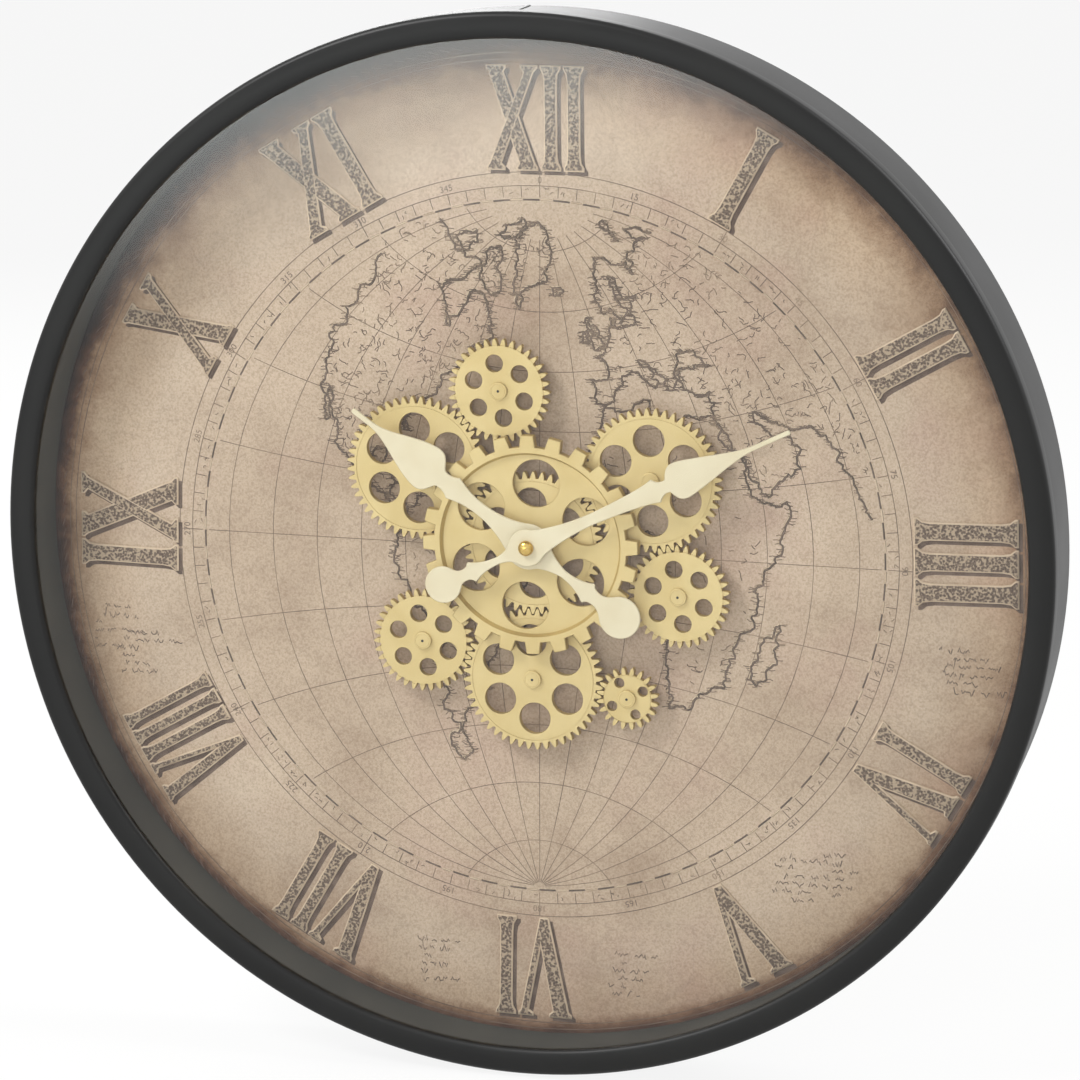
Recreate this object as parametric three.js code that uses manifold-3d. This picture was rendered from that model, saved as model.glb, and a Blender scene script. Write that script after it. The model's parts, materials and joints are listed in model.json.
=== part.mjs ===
// A round wall clock with an open gear train in front of its dial, in millimetres.
// X runs to the right and Z up across the dial. The front faces -Y and the wall is the plane Y = 0,
// so a depth below is a distance forward from the wall.
import * as THREE from "three";
import { mergeVertices } from "three/addons/utils/BufferGeometryUtils.js";
import Module from "manifold-3d";

// Fits
const fit = 0.3; // gap between pieces that touch
const backlash = 0.35; // play between meshing teeth, along the pitch circle

// Case
const bezelRadius = 300;
const bezelWidth = 15; // of the black ring, seen from the front
const bezelDepth = 12;
const bezelEdge = 3; // rounding of the bezel's front edges
const bezelOverhang = 3.8; // how far the bezel stands out past the band
const lipThickness = 3.7; // bezel metal in front of the glass
const skirtThickness = 1.2; // ring behind the bezel that slips into the band
const skirtLength = 14;
const bandSheet = 1.2;
const rimEdge = 0.8; // rounding of the rear rim's outer corner
const rimReturn = 8; // how far the rear rim stands in from the band
const glassThickness = 3;
const spacerSetback = 2; // spacer ring's bore outside the bezel's bore
const spacerWall = 4;

// Depths through the case
const recessDepth = 20; // wall to the back of the dial board
const boardThickness = 4;
const printThickness = 0.4;
const viewDepth = 34.3; // dial face to the glass

// Board brackets and hanger
const bracketWidth = 20;
const bracketReach = 20; // along the board
const bracketHeight = 12; // along the band
const bracketSheet = 1.5;
const bracketAngle = 45; // first of four, a quarter turn apart
const screwRadius = 1.5;
const screwHeadRadius = 3.2;
const screwHeadHeight = 2;
const screwBite = 3; // length in the board
const hangerWidth = 44;
const hangerHeight = 36;
const hangerSheet = 1.5;
const hangerCorner = 6;
const keyholeHead = 5.5; // radius that lets a screw head in
const keyholeSlot = 2.6; // half width of the slot that holds the screw
const keyholeRun = 12; // from the centre of the head hole to the centre of the slot's end
const keyholeMargin = 8; // plate left below the head hole

// Gear train
const gearModule = 1.625;
const pressureAngle = 20;
const addendum = 1; // tooth height outside the pitch circle, in modules
const dedendum = 1.3; // tooth depth inside the pitch circle, in modules
const centerTeeth = 48;
const largeTeeth = 48;
const middleTeeth = 34;
const smallTeeth = 20;
const gearThickness = 4;
const gearStandoff = 6.5; // dial face to the back of the gears
const trainPhase = 0; // angle of one tooth of the center gear
const largeAngle = 30; // direction of the first large gear, the others a third of a turn apart
const middleTurn = -106; // from a large gear's own direction to its middle gear
const smallAngle = -8; // from the lower large gear to the small gear

const largeHoles = { count: 6, ring: 22.5, radius: 9.2, angle: 33, sides: 9 };
const middleHoles = { count: 6, ring: 15.5, radius: 5.2, angle: 40, sides: 8 };
const smallHoles = { count: 4, ring: 10, radius: 3.1, angle: 28, sides: 8 };

// Front wheel
const wheelTeeth = 24;
const wheelTipRadius = 62;
const wheelRootRadius = 55.5;
const wheelTipWidth = 7.2;
const wheelRootWidth = 9;
const wheelPhase = 1.7;
const wheelThickness = 5.4;
const wheelGap = 1.4; // gears to the back of the front wheel
const wheelRecess = 2.6; // depth of the sunk disc inside the rim
const wheelRecessRadius = 52.3; // at the front of its bevelled wall
const wheelRecessBevel = 1.5;
const wheelHoles = { count: 6, ring: 35, radius: 13.7, angle: 25, sides: 14 };

// Posts and hub caps
const pinRadius = 2;
const shankRadius = 3;
const postFlangeRadius = 6;
const postFlangeHeight = 1.5;
const pinSeat = 0.6; // pin length inside the hub cap
const hubCapRadius = 5;
const hubCapHeight = 1.6;
const hubCapEdge = 0.4;

// Hand stack
const bushRadius = 4;
const bushFlangeRadius = 6;
const bushFlangeHeight = 1.2;
const washerRadius = 10;
const washerThickness = 0.8;
const nutFlats = 14;
const nutHeight = 2.5;
const sleeveRadius = 6.5;
const sleeveCollarRadius = 10;
const sleeveProud = 0.8; // sleeve end ahead of the sunk disc
const clipRadius = 7;
const clipThickness = 0.8;
const bushProud = 0.6; // bush end ahead of the clip
const pipeRadius = 2.5;
const pipeProud = 0.4; // pipe end ahead of the hour hand
const arborRadius = 1.5;
const arborProud = 1.6; // arbor end ahead of the minute hand
const handThickness = 1;
const hourHandGap = 2.4; // front wheel to the hour hand
const minuteHandGap = 2.6; // hour hand to the minute hand
const capNutRadius = 4.3;
const capNutHeight = 3.7;
const capNutRim = 1; // straight edge below the dome
const hourAngle = 144.7; // rest directions, from +X towards +Z
const minuteAngle = 26.2;

// Along a hand, distances from its axis; across it, half widths
const hourHand = {
  reach: 125, needle: 1.5, taper: 101, leaf: 13.7, leafAt: 71, neck: 5.2, neckAt: 59,
  collar: 7.2, collarAt: 53, arm: 3.4, armAt: 29, hub: 13, stem: 2.2, stemAt: 25,
  tailCollar: 6.6, tailCollarAt: 42, tailNeck: 4, tailNeckAt: 49.5, disc: 11.9, discAt: 64.5,
  bore: pipeRadius + fit,
};
const minuteHand = {
  reach: 166.5, needle: 1.3, taper: 134, leaf: 10.5, leafAt: 97, neck: 3.6, neckAt: 86.5,
  collar: 6.9, collarAt: 82, arm: 3, armAt: 27, hub: 10.5, stem: 2, stemAt: 18,
  tailCollar: 5.9, tailCollarAt: 35, tailNeck: 3.4, tailNeckAt: 41.5, disc: 10.4, discAt: 53.8,
  bore: arborRadius + fit,
};
const collarBarb = 1; // step at the tip of a hand's collars
const leafFullness = 0.9; // how soon a leaf takes on its width
const hubFlare = 1.2; // where an arm starts to widen into the hub, in hub radii
const hubRound = [55, 135]; // part of the hub's edge left round, in degrees
const discRound = [40, 180]; // the same for the tail's disc

// Hand movement and gear drive, both behind the dial board
const movementSize = 56;
const driveSize = 60;
const housingThickness = 16;
const housingCorner = 4;
const cellRadius = 7.1;
const cellLength = 49.2;
const cellEdge = 1;
const cellNubRadius = 2.7;
const cellNubLength = 1;
const cellDrop = 17; // cell axis below the shaft
const bayFloor = 1;
const shaftSeat = 3; // depth of the shaft's pocket in its housing
const knobRadius = 6;
const knobHeight = 2.6;
const knobStem = 1.5;
const knobStemLength = 3;
const knobFlutes = 10;
const fluteDepth = 0.5;
const knobAt = { x: 13, z: 13 };
const driveShaftRadius = 3;
const switchLength = 7.4;
const switchWidth = 3.4;
const switchDepth = 2.4;
const switchTravel = 4;
const switchLugLength = 3;
const switchLugHeight = 1.5;
const switchRise = 17; // switch above the drive shaft

// Facets
const ringSides = 44;
const turnSides = 12;
const boreSides = 8;
const pinSides = 6;
const handSteps = 4; // points along each curve of a hand

// Depths that follow from the sizes above
const rimFront = bandSheet;
const boardRear = recessDepth;
const boardFront = boardRear + boardThickness;
const printRear = boardFront + fit;
const dialFace = printRear + printThickness;
const glassRear = dialFace + viewDepth;
const glassFront = glassRear + glassThickness;
const lipRear = glassFront + fit;
const bezelFront = lipRear + lipThickness;
const bezelRear = bezelFront - bezelDepth;
const skirtRear = bezelRear - skirtLength;
const bandFront = bezelRear - fit;
const gearRear = dialFace + gearStandoff;
const gearFront = gearRear + gearThickness;
const wheelRear = gearFront + wheelGap;
const wheelFront = wheelRear + wheelThickness;
const wheelDisc = wheelFront - wheelRecess;
const hourHandRear = wheelFront + hourHandGap;
const hourHandFront = hourHandRear + handThickness;
const minuteHandRear = hourHandFront + minuteHandGap;
const minuteHandFront = minuteHandRear + handThickness;
const housingFront = boardRear - fit;
const housingRear = housingFront - housingThickness;
const pocketFloor = housingFront - shaftSeat;
const bushFlangeFront = housingFront - fit;
const bushFlangeRear = bushFlangeFront - bushFlangeHeight;
const washerRear = dialFace + fit;
const nutRear = washerRear + washerThickness + fit;
const nutFront = nutRear + nutHeight;
const sleeveFront = wheelDisc + sleeveProud;
const clipRear = sleeveFront + fit;
const clipFront = clipRear + clipThickness;
const capRear = gearFront + fit;
const pinEnd = capRear + pinSeat;

// Radii that follow from the sizes above
const bezelBore = bezelRadius - bezelWidth;
const bandOuter = bezelRadius - bezelOverhang;
const bandInner = bandOuter - bandSheet;
const skirtOuter = bandInner - fit;
const skirtInner = skirtOuter - skirtThickness;
const glassRadius = skirtInner - fit;
const boardRadius = bandInner - fit;
const spacerInner = bezelBore + spacerSetback;
const spacerOuter = spacerInner + spacerWall;
const rimInner = bandInner - rimReturn;
const bushBore = pipeRadius + fit;
const pipeBore = arborRadius + fit;
const sleeveBore = bushRadius + fit;
const centerBore = sleeveRadius + fit;
const gearBore = pinRadius + fit;

const wasm = await Module();
wasm.setup();

const radians = THREE.MathUtils.degToRad;

// A closed geometry as a solid that can be joined and cut.
function solid(geometry) {
  geometry.deleteAttribute("normal");
  geometry.deleteAttribute("uv");
  const merged = mergeVertices(geometry);
  const corners = merged.index.array;
  const triVerts = [];
  for (let i = 0; i < corners.length; i += 3) {
    const [a, b, c] = corners.slice(i, i + 3);
    if (a !== b && b !== c && c !== a) triVerts.push(a, b, c);
  }
  const vertProperties = merged.attributes.position.array;
  const mesh = new wasm.Mesh({ numProp: 3, vertProperties, triVerts: new Uint32Array(triVerts) });
  return new wasm.Manifold(mesh);
}

// A turned piece round the Y axis from [radius, depth] corners, closed on itself or on the axis.
function turned(profile, sides) {
  const points = profile.map(([radius, depth]) => new THREE.Vector2(radius, -depth));
  if (THREE.ShapeUtils.isClockWise(points)) points.reverse();
  if (profile.some(([radius]) => radius === 0)) {
    while (points[0].x !== 0 || points.at(-1).x !== 0) points.push(points.shift());
  } else {
    points.push(points[0].clone());
  }
  return solid(new THREE.LatheGeometry(points, sides));
}

function cylinder(radius, rear, front, sides = turnSides) {
  return turned([[0, rear], [radius, rear], [radius, front], [0, front]], sides);
}

function tube(outer, inner, rear, front, sides = turnSides) {
  return turned([[inner, rear], [outer, rear], [outer, front], [inner, front]], sides);
}

// A flat piece with a shape drawn in X and Z, between two depths.
function plate(shape, rear, front) {
  const geometry = new THREE.ExtrudeGeometry(shape, { depth: front - rear, bevelEnabled: false });
  geometry.rotateX(Math.PI / 2);
  geometry.translate(0, -rear, 0);
  return solid(geometry);
}

function polar(radius, degrees) {
  return new THREE.Vector2(radius * Math.cos(radians(degrees)), radius * Math.sin(radians(degrees)));
}

function arc(radius, start, end, steps, center) {
  return Array.from({ length: steps + 1 }, (_, i) => {
    return polar(radius, start + ((end - start) * i) / steps).add(center);
  });
}

function circle(center, radius, sides) {
  return Array.from({ length: sides }, (_, i) => polar(radius, (360 * i) / sides).add(center));
}

function cutCircle(shape, center, radius, sides) {
  shape.holes.push(new THREE.Path(circle(center, radius, sides)));
}

function cutHoles(shape, holes) {
  for (let i = 0; i < holes.count; i++) {
    const center = polar(holes.ring, holes.angle + (360 * i) / holes.count);
    cutCircle(shape, center, holes.radius, holes.sides);
  }
}

function roundedRectangle(width, height, corner, center = new THREE.Vector2()) {
  const quarters = [[1, 1], [-1, 1], [-1, -1], [1, -1]];
  const points = quarters.flatMap(([sx, sy], quarter) => {
    const turn = new THREE.Vector2(sx * (width / 2 - corner), sy * (height / 2 - corner)).add(center);
    return arc(corner, 90 * quarter, 90 * quarter + 90, 2, turn);
  });
  return new THREE.Shape(points);
}

function rectangle(width, height, center = new THREE.Vector2()) {
  const half = new THREE.Vector2(width, height).divideScalar(2);
  const corners = [[-1, -1], [1, -1], [1, 1], [-1, 1]];
  return new THREE.Shape(corners.map(([sx, sy]) => new THREE.Vector2(sx, sy).multiply(half).add(center)));
}

function moved(body, { x, y }) {
  return body.translate([x, 0, y]);
}

function finish(color, roughness, metalness) {
  return { color, roughness, metalness };
}

const blackEnamel = finish(0x2f2f2f, 0.45, 0.2);
const darkLining = finish(0x5c5c56, 0.7, 0);
const clearGlass = finish(0xdfe6e4, 0.05, 0);
const hardboard = finish(0x3b3129, 0.85, 0);
const parchment = finish(0xc8b29b, 0.9, 0);
const goldPaint = finish(0xdcc68f, 0.55, 0.1);
const creamPaint = finish(0xe8e0c4, 0.5, 0);
const brass = finish(0xc9a24a, 0.2, 1);
const zincSteel = finish(0xa9abad, 0.35, 1);
const blackPlastic = finish(0x1d1d1f, 0.5, 0);
const cellSleeve = finish(0x50545a, 0.4, 0.3);

function piece(name, body, look) {
  const data = body.getMesh();
  const geometry = new THREE.BufferGeometry();
  geometry.setAttribute("position", new THREE.BufferAttribute(data.vertProperties, 3));
  geometry.setIndex(new THREE.BufferAttribute(data.triVerts, 1));
  geometry.computeVertexNormals();
  const mesh = new THREE.Mesh(geometry, new THREE.MeshStandardMaterial(look));
  mesh.name = name;
  return mesh;
}

function at(group, { x, y }) {
  group.position.set(x, 0, y);
  return group;
}

// Gear places. Middle gears hang on the large ones, the small gear on the lower one.
function centerDistance(teethA, teethB) {
  return (gearModule * (teethA + teethB)) / 2;
}

// Tooth angle of a gear in mesh with another that lies the given direction behind it.
function meshedPhase(driver, direction, teeth) {
  const driverPart = ((direction - driver.phase) * driver.teeth) / 360;
  return direction + 180 - ((0.5 - driverPart) * 360) / teeth;
}

function gearBeside(driver, direction, teeth, holes, name) {
  const center = polar(centerDistance(driver.teeth, teeth), direction).add(driver.center);
  return { name, center, teeth, holes, phase: meshedPhase(driver, direction, teeth) };
}

const centerGear = {
  name: "center_gear",
  center: new THREE.Vector2(),
  teeth: centerTeeth,
  holes: largeHoles,
  phase: trainPhase,
};
const largeAngles = [0, 120, 240].map((degrees) => largeAngle + degrees);
const largeGears = ["right", "left", "lower"].map((side, i) =>
  gearBeside(centerGear, largeAngles[i], largeTeeth, largeHoles, `large_gear_${side}`));
const middleGears = ["right", "top", "left"].map((side, i) => {
  const direction = largeAngles[i] + middleTurn;
  return gearBeside(largeGears[i], direction, middleTeeth, middleHoles, `middle_gear_${side}`);
});
const lowerGear = largeGears[2];
const smallGear = gearBeside(lowerGear, smallAngle, smallTeeth, smallHoles, "small_gear");
const outerGears = [...largeGears, ...middleGears, smallGear];
const postedGears = outerGears.filter((gear) => gear !== lowerGear);

// Half the angle that an involute tooth fills at a radius, in degrees.
function toothHalfAngle(teeth, radius) {
  const pitchRadius = (gearModule * teeth) / 2;
  const baseRadius = pitchRadius * Math.cos(radians(pressureAngle));
  const involute = (at) => {
    const pressure = Math.acos(Math.min(1, baseRadius / at));
    return Math.tan(pressure) - pressure;
  };
  const pitchHalf = ((Math.PI * gearModule) / 2 - backlash) / 2 / pitchRadius;
  return THREE.MathUtils.radToDeg(pitchHalf + involute(pitchRadius) - involute(radius));
}

function gearShape({ teeth, phase, holes }, bore, sides) {
  const pitchRadius = (gearModule * teeth) / 2;
  const root = pitchRadius - dedendum * gearModule;
  const tip = pitchRadius + addendum * gearModule;
  const outline = [];
  for (let i = 0; i < teeth; i++) {
    const middle = phase + (360 * i) / teeth;
    const rootHalf = toothHalfAngle(teeth, root);
    const tipHalf = toothHalfAngle(teeth, tip);
    outline.push(polar(root, middle - rootHalf), polar(tip, middle - tipHalf));
    outline.push(polar(tip, middle + tipHalf), polar(root, middle + rootHalf));
  }
  const shape = new THREE.Shape(outline);
  cutCircle(shape, new THREE.Vector2(), bore, sides);
  cutHoles(shape, holes);
  return shape;
}

function gear(entry) {
  const body = plate(gearShape(entry, gearBore, boreSides), gearRear, gearFront);
  return at(piece(entry.name, body, goldPaint), entry.center);
}

function frontWheelShape() {
  const outline = [];
  const tipHalf = THREE.MathUtils.radToDeg(wheelTipWidth / 2 / wheelTipRadius);
  const rootHalf = THREE.MathUtils.radToDeg(wheelRootWidth / 2 / wheelRootRadius);
  for (let i = 0; i < wheelTeeth; i++) {
    const middle = wheelPhase + (360 * i) / wheelTeeth;
    outline.push(polar(wheelRootRadius, middle - rootHalf), polar(wheelTipRadius, middle - tipHalf));
    outline.push(polar(wheelTipRadius, middle + tipHalf), polar(wheelRootRadius, middle + rootHalf));
  }
  const shape = new THREE.Shape(outline);
  cutCircle(shape, new THREE.Vector2(), centerBore, turnSides);
  cutHoles(shape, wheelHoles);
  return shape;
}

function frontWheel() {
  const sunkRadius = wheelRecessRadius - wheelRecessBevel;
  // The cutter runs on past the front, as far again and at the same slope.
  const sunk = turned([
    [0, wheelDisc],
    [sunkRadius, wheelDisc],
    [wheelRecessRadius + wheelRecessBevel, wheelFront + wheelRecess],
    [0, wheelFront + wheelRecess],
  ], ringSides);
  return piece("front_wheel", plate(frontWheelShape(), wheelRear, wheelFront).subtract(sunk), goldPaint);
}

function centerSleeve() {
  return piece("center_sleeve", turned([
    [sleeveBore, nutFront + fit],
    [sleeveRadius, nutFront + fit],
    [sleeveRadius, gearFront + fit],
    [sleeveCollarRadius, gearFront + fit],
    [sleeveCollarRadius, wheelRear - fit],
    [sleeveRadius, wheelRear - fit],
    [sleeveRadius, sleeveFront],
    [sleeveBore, sleeveFront],
  ], turnSides), brass);
}

function post({ name, center }) {
  const flangeRear = dialFace + fit;
  const flangeFront = flangeRear + postFlangeHeight;
  const shoulder = gearRear - fit;
  return at(piece(name.replace("gear", "post"), turned([
    [0, boardRear + fit],
    [pinRadius, boardRear + fit],
    [pinRadius, flangeRear],
    [postFlangeRadius, flangeRear],
    [postFlangeRadius, flangeFront],
    [shankRadius, flangeFront],
    [shankRadius, shoulder],
    [pinRadius, shoulder],
    [pinRadius, pinEnd],
    [0, pinEnd],
  ], pinSides), zincSteel), center);
}

function hubCap({ name, center }) {
  const capFront = capRear + hubCapHeight;
  return at(piece(name.replace("gear", "hub_cap"), turned([
    [0, pinEnd + fit],
    [gearBore, pinEnd + fit],
    [gearBore, capRear],
    [hubCapRadius, capRear],
    [hubCapRadius, capFront - hubCapEdge],
    [hubCapRadius - hubCapEdge, capFront],
    [0, capFront],
  ], boreSides), goldPaint), center);
}

function gearTrain() {
  const group = new THREE.Group();
  const centerShape = gearShape(centerGear, centerBore, turnSides);
  group.add(piece(centerGear.name, plate(centerShape, gearRear, gearFront), goldPaint));
  group.add(frontWheel(), centerSleeve());
  group.add(...outerGears.map(gear), ...outerGears.map(hubCap), ...postedGears.map(post));
  return group;
}

// Case
function caseBand() {
  return piece("case_band", tube(bandOuter, bandInner, rimFront + fit, bandFront, ringSides), blackEnamel);
}

function rearRim() {
  return piece("rear_rim", turned([
    [rimInner, 0],
    [bandOuter - rimEdge, 0],
    [bandOuter, rimEdge],
    [bandOuter, rimFront],
    [rimInner, rimFront],
  ], ringSides), blackEnamel);
}

function frontBezel() {
  const slope = bezelEdge * (1 - Math.SQRT1_2);
  return piece("front_bezel", turned([
    [skirtInner, skirtRear],
    [skirtOuter, skirtRear],
    [skirtOuter, bezelRear],
    [bezelRadius, bezelRear],
    [bezelRadius, bezelFront - bezelEdge],
    [bezelRadius - slope, bezelFront - slope],
    [bezelRadius - bezelEdge, bezelFront],
    [bezelBore + bezelEdge, bezelFront],
    [bezelBore + slope, bezelFront - slope],
    [bezelBore, bezelFront - bezelEdge],
    [bezelBore, lipRear],
    [skirtInner, lipRear],
  ], ringSides), blackEnamel);
}

// Brackets lie on the flats of the band, so each takes the middle of the flat at its angle.
const flatStep = 360 / ringSides;
const bracketAngles = [0, 1, 2, 3].map((i) => {
  const flat = Math.floor((bracketAngle + 90 * i) / flatStep);
  return (flat + 0.5) * flatStep;
});
const bracketOuter = bandInner * Math.cos(radians(flatStep / 2)) - fit;
const bracketFront = boardRear - fit;
const bracketRear = bracketFront - bracketSheet;
const screwRing = bracketOuter - bracketReach / 2;

// A bracket along +X: one leg behind the board, the other back along the band.
function bracketBody() {
  const corners = [
    [bracketOuter - bracketReach, bracketFront],
    [bracketOuter, bracketFront],
    [bracketOuter, bracketFront - bracketHeight],
    [bracketOuter - bracketSheet, bracketFront - bracketHeight],
    [bracketOuter - bracketSheet, bracketRear],
    [bracketOuter - bracketReach, bracketRear],
  ];
  const shape = new THREE.Shape(corners.map(([x, depth]) => new THREE.Vector2(x, -depth)));
  const geometry = new THREE.ExtrudeGeometry(shape, { depth: bracketWidth, bevelEnabled: false });
  geometry.translate(0, 0, -bracketWidth / 2);
  const hole = cylinder(screwRadius + fit, bracketRear - fit, bracketFront + fit, pinSides);
  return solid(geometry).subtract(moved(hole, { x: screwRing, y: 0 }));
}

function screwBody() {
  const headFront = bracketRear - fit;
  const headRear = headFront - screwHeadHeight;
  const crown = screwHeadHeight / 2;
  return moved(turned([
    [0, headRear],
    [screwHeadRadius - crown, headRear],
    [screwHeadRadius, headRear + crown],
    [screwHeadRadius, headFront],
    [screwRadius, headFront],
    [screwRadius, boardRear + screwBite],
    [0, boardRear + screwBite],
  ], pinSides), { x: screwRing, y: 0 });
}

function boardFixings() {
  const group = new THREE.Group();
  bracketAngles.forEach((degrees, i) => {
    const corner = new THREE.Group();
    corner.add(piece(`board_bracket_${i + 1}`, bracketBody(), zincSteel));
    corner.add(piece(`board_screw_${i + 1}`, screwBody(), zincSteel));
    corner.rotation.y = -radians(degrees);
    group.add(corner);
  });
  return group;
}

// The keyhole's slot points up, so the clock drops onto its screw.
function hangerPlate() {
  const rear = rimFront + fit;
  const reach = bandInner * Math.cos(radians(flatStep / 2)) - fit;
  const top = Math.sqrt(reach ** 2 - (hangerWidth / 2) ** 2);
  const middle = new THREE.Vector2(0, top - hangerHeight / 2);
  const shape = roundedRectangle(hangerWidth, hangerHeight, hangerCorner, middle);
  const headZ = top - hangerHeight + keyholeMargin + keyholeHead;
  const slotTop = headZ + keyholeRun;
  const meet = THREE.MathUtils.radToDeg(Math.asin(keyholeSlot / keyholeHead));
  const head = arc(keyholeHead, 90 + meet, 450 - meet, turnSides, { x: 0, y: headZ });
  const slot = arc(keyholeSlot, 0, 180, pinSides, { x: 0, y: slotTop });
  shape.holes.push(new THREE.Path([...head, ...slot]));
  return piece("hanger_plate", plate(shape, rear, rear + hangerSheet), zincSteel);
}

function dialHoles(body, rear, front) {
  const through = (radius, center, sides) => {
    return moved(cylinder(radius + fit, rear - fit, front + fit, sides), center);
  };
  const cutters = postedGears.map(({ center }) => through(pinRadius, center, boreSides));
  cutters.push(through(driveShaftRadius, lowerGear.center, boreSides));
  cutters.push(through(bushRadius, centerGear.center, turnSides));
  return cutters.reduce((rest, cutter) => rest.subtract(cutter), body);
}

function dialBoard() {
  const screwHole = cylinder(screwRadius + fit, boardRear - fit, boardRear + screwBite + fit, pinSides);
  const board = bracketAngles.reduce(
    (rest, degrees) => rest.subtract(moved(screwHole, polar(screwRing, degrees))),
    cylinder(boardRadius, boardRear, boardFront, ringSides));
  return piece("dial_board", dialHoles(board, boardRear, boardFront), hardboard);
}

function dialPrint() {
  const print = cylinder(spacerOuter, printRear, dialFace, ringSides);
  return piece("dial_print", dialHoles(print, printRear, dialFace), parchment);
}

function clockCase() {
  const group = new THREE.Group();
  const glass = cylinder(glassRadius, glassRear, glassFront, ringSides);
  const spacer = tube(spacerOuter, spacerInner, dialFace + fit, glassRear - fit, ringSides);
  group.add(caseBand(), rearRim(), frontBezel());
  group.add(piece("glass_lens", glass, clearGlass), piece("spacer_ring", spacer, darkLining));
  group.add(dialBoard(), dialPrint(), hangerPlate(), boardFixings());
  return group;
}

// Hands. The half outline runs from the tip to the end of the tail and is mirrored across the hand.
function handShape(hand) {
  const path = new THREE.Path();
  path.moveTo(hand.reach, 0);
  path.quadraticCurveTo(hand.reach, hand.needle, hand.reach - hand.needle, hand.needle);
  path.lineTo(hand.taper + hand.leaf, hand.needle);
  const leafRise = hand.leaf * leafFullness;
  path.bezierCurveTo(hand.taper, hand.needle, hand.taper - hand.leaf, leafRise, hand.leafAt, hand.leaf);
  const shoulder = (hand.leafAt + hand.neckAt) / 2;
  path.bezierCurveTo(shoulder, hand.leaf, shoulder, hand.neck, hand.neckAt, hand.neck);
  path.quadraticCurveTo(hand.collarAt + collarBarb, hand.neck, hand.collarAt, hand.collar);
  const armFront = hand.collarAt - hand.collar * 2;
  path.bezierCurveTo(armFront, hand.arm, hand.armAt + hand.hub, hand.arm, hand.armAt, hand.arm);
  const hubFront = polar(hand.hub, hubRound[0]);
  path.quadraticCurveTo(hand.hub * hubFlare, hand.arm, hubFront.x, hubFront.y);
  path.absarc(0, 0, hand.hub, ...hubRound.map(radians), false);
  path.quadraticCurveTo(-hand.hub * hubFlare, hand.stem, -hand.stemAt, hand.stem);
  const stemEnd = -hand.tailCollarAt + hand.tailCollar;
  path.quadraticCurveTo(stemEnd, hand.stem, -hand.tailCollarAt, hand.tailCollar);
  path.quadraticCurveTo(-hand.tailCollarAt - collarBarb, hand.tailNeck, -hand.tailNeckAt, hand.tailNeck);
  const discFront = polar(hand.disc, discRound[0]).sub({ x: hand.discAt, y: 0 });
  path.quadraticCurveTo(-hand.discAt + hand.disc, hand.tailNeck, discFront.x, discFront.y);
  path.absarc(-hand.discAt, 0, hand.disc, ...discRound.map(radians), false);
  const upper = path.getPoints(handSteps);
  const lower = upper.slice(1, -1).reverse().map(({ x, y }) => new THREE.Vector2(x, -y));
  const shape = new THREE.Shape([...upper, ...lower]);
  cutCircle(shape, new THREE.Vector2(), hand.bore, turnSides);
  return shape;
}

function handPiece(name, hand, rear, degrees) {
  const mesh = piece(name, plate(handShape(hand), rear, rear + handThickness), creamPaint);
  mesh.rotation.y = -radians(degrees);
  return mesh;
}

function capNut() {
  const rear = minuteHandFront + fit;
  const crown = capNutHeight - capNutRim;
  const dome = [0, 30, 60].map((degrees) => {
    const point = polar(1, degrees);
    return [capNutRadius * point.x, rear + capNutRim + crown * point.y];
  });
  const threadEnd = minuteHandFront + arborProud + fit;
  return piece("cap_nut", turned([
    [0, threadEnd],
    [pipeBore, threadEnd],
    [pipeBore, rear],
    [capNutRadius, rear],
    ...dome,
    [0, rear + capNutHeight],
  ], turnSides), brass);
}

function handStack() {
  const group = new THREE.Group();
  const bush = turned([
    [bushBore, bushFlangeRear],
    [bushFlangeRadius, bushFlangeRear],
    [bushFlangeRadius, bushFlangeFront],
    [bushRadius, bushFlangeFront],
    [bushRadius, clipFront + bushProud],
    [bushBore, clipFront + bushProud],
  ], turnSides);
  const nutShape = new THREE.Shape(circle(new THREE.Vector2(), nutFlats / Math.sqrt(3), 6));
  cutCircle(nutShape, new THREE.Vector2(), sleeveBore, turnSides);
  const shaftRear = pocketFloor + fit;
  const washer = tube(washerRadius, sleeveBore, washerRear, washerRear + washerThickness);
  const pipe = tube(pipeRadius, pipeBore, shaftRear, hourHandFront + pipeProud);
  const arbor = cylinder(arborRadius, shaftRear, minuteHandFront + arborProud, pinSides);
  group.add(piece("hand_bush", bush, brass), piece("bush_washer", washer, brass));
  group.add(piece("bush_nut", plate(nutShape, nutRear, nutFront), brass));
  group.add(piece("sleeve_clip", tube(clipRadius, sleeveBore, clipRear, clipFront), zincSteel));
  group.add(piece("hour_pipe", pipe, brass), piece("minute_arbor", arbor, zincSteel));
  group.add(handPiece("hour_hand", hourHand, hourHandRear, hourAngle));
  group.add(handPiece("minute_hand", minuteHand, minuteHandRear, minuteAngle));
  group.add(capNut());
  return group;
}

// A square housing behind the board with a pocket for its shaft and an open bay for its cell.
const bayDepth = housingThickness - bayFloor;
const cellDepth = housingFront - bayFloor - fit - cellRadius;

function housing(size, pocketRadius) {
  const bayWidth = cellLength + cellNubLength + 2 * fit;
  const bayShape = rectangle(bayWidth, 2 * (cellRadius + fit), new THREE.Vector2(0, -cellDrop));
  const bay = plate(bayShape, housingRear - fit, housingRear + bayDepth);
  const pocket = cylinder(pocketRadius, pocketFloor, housingFront + fit);
  const body = plate(roundedRectangle(size, size, housingCorner), housingRear, housingFront);
  return body.subtract(bay).subtract(pocket);
}

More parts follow.
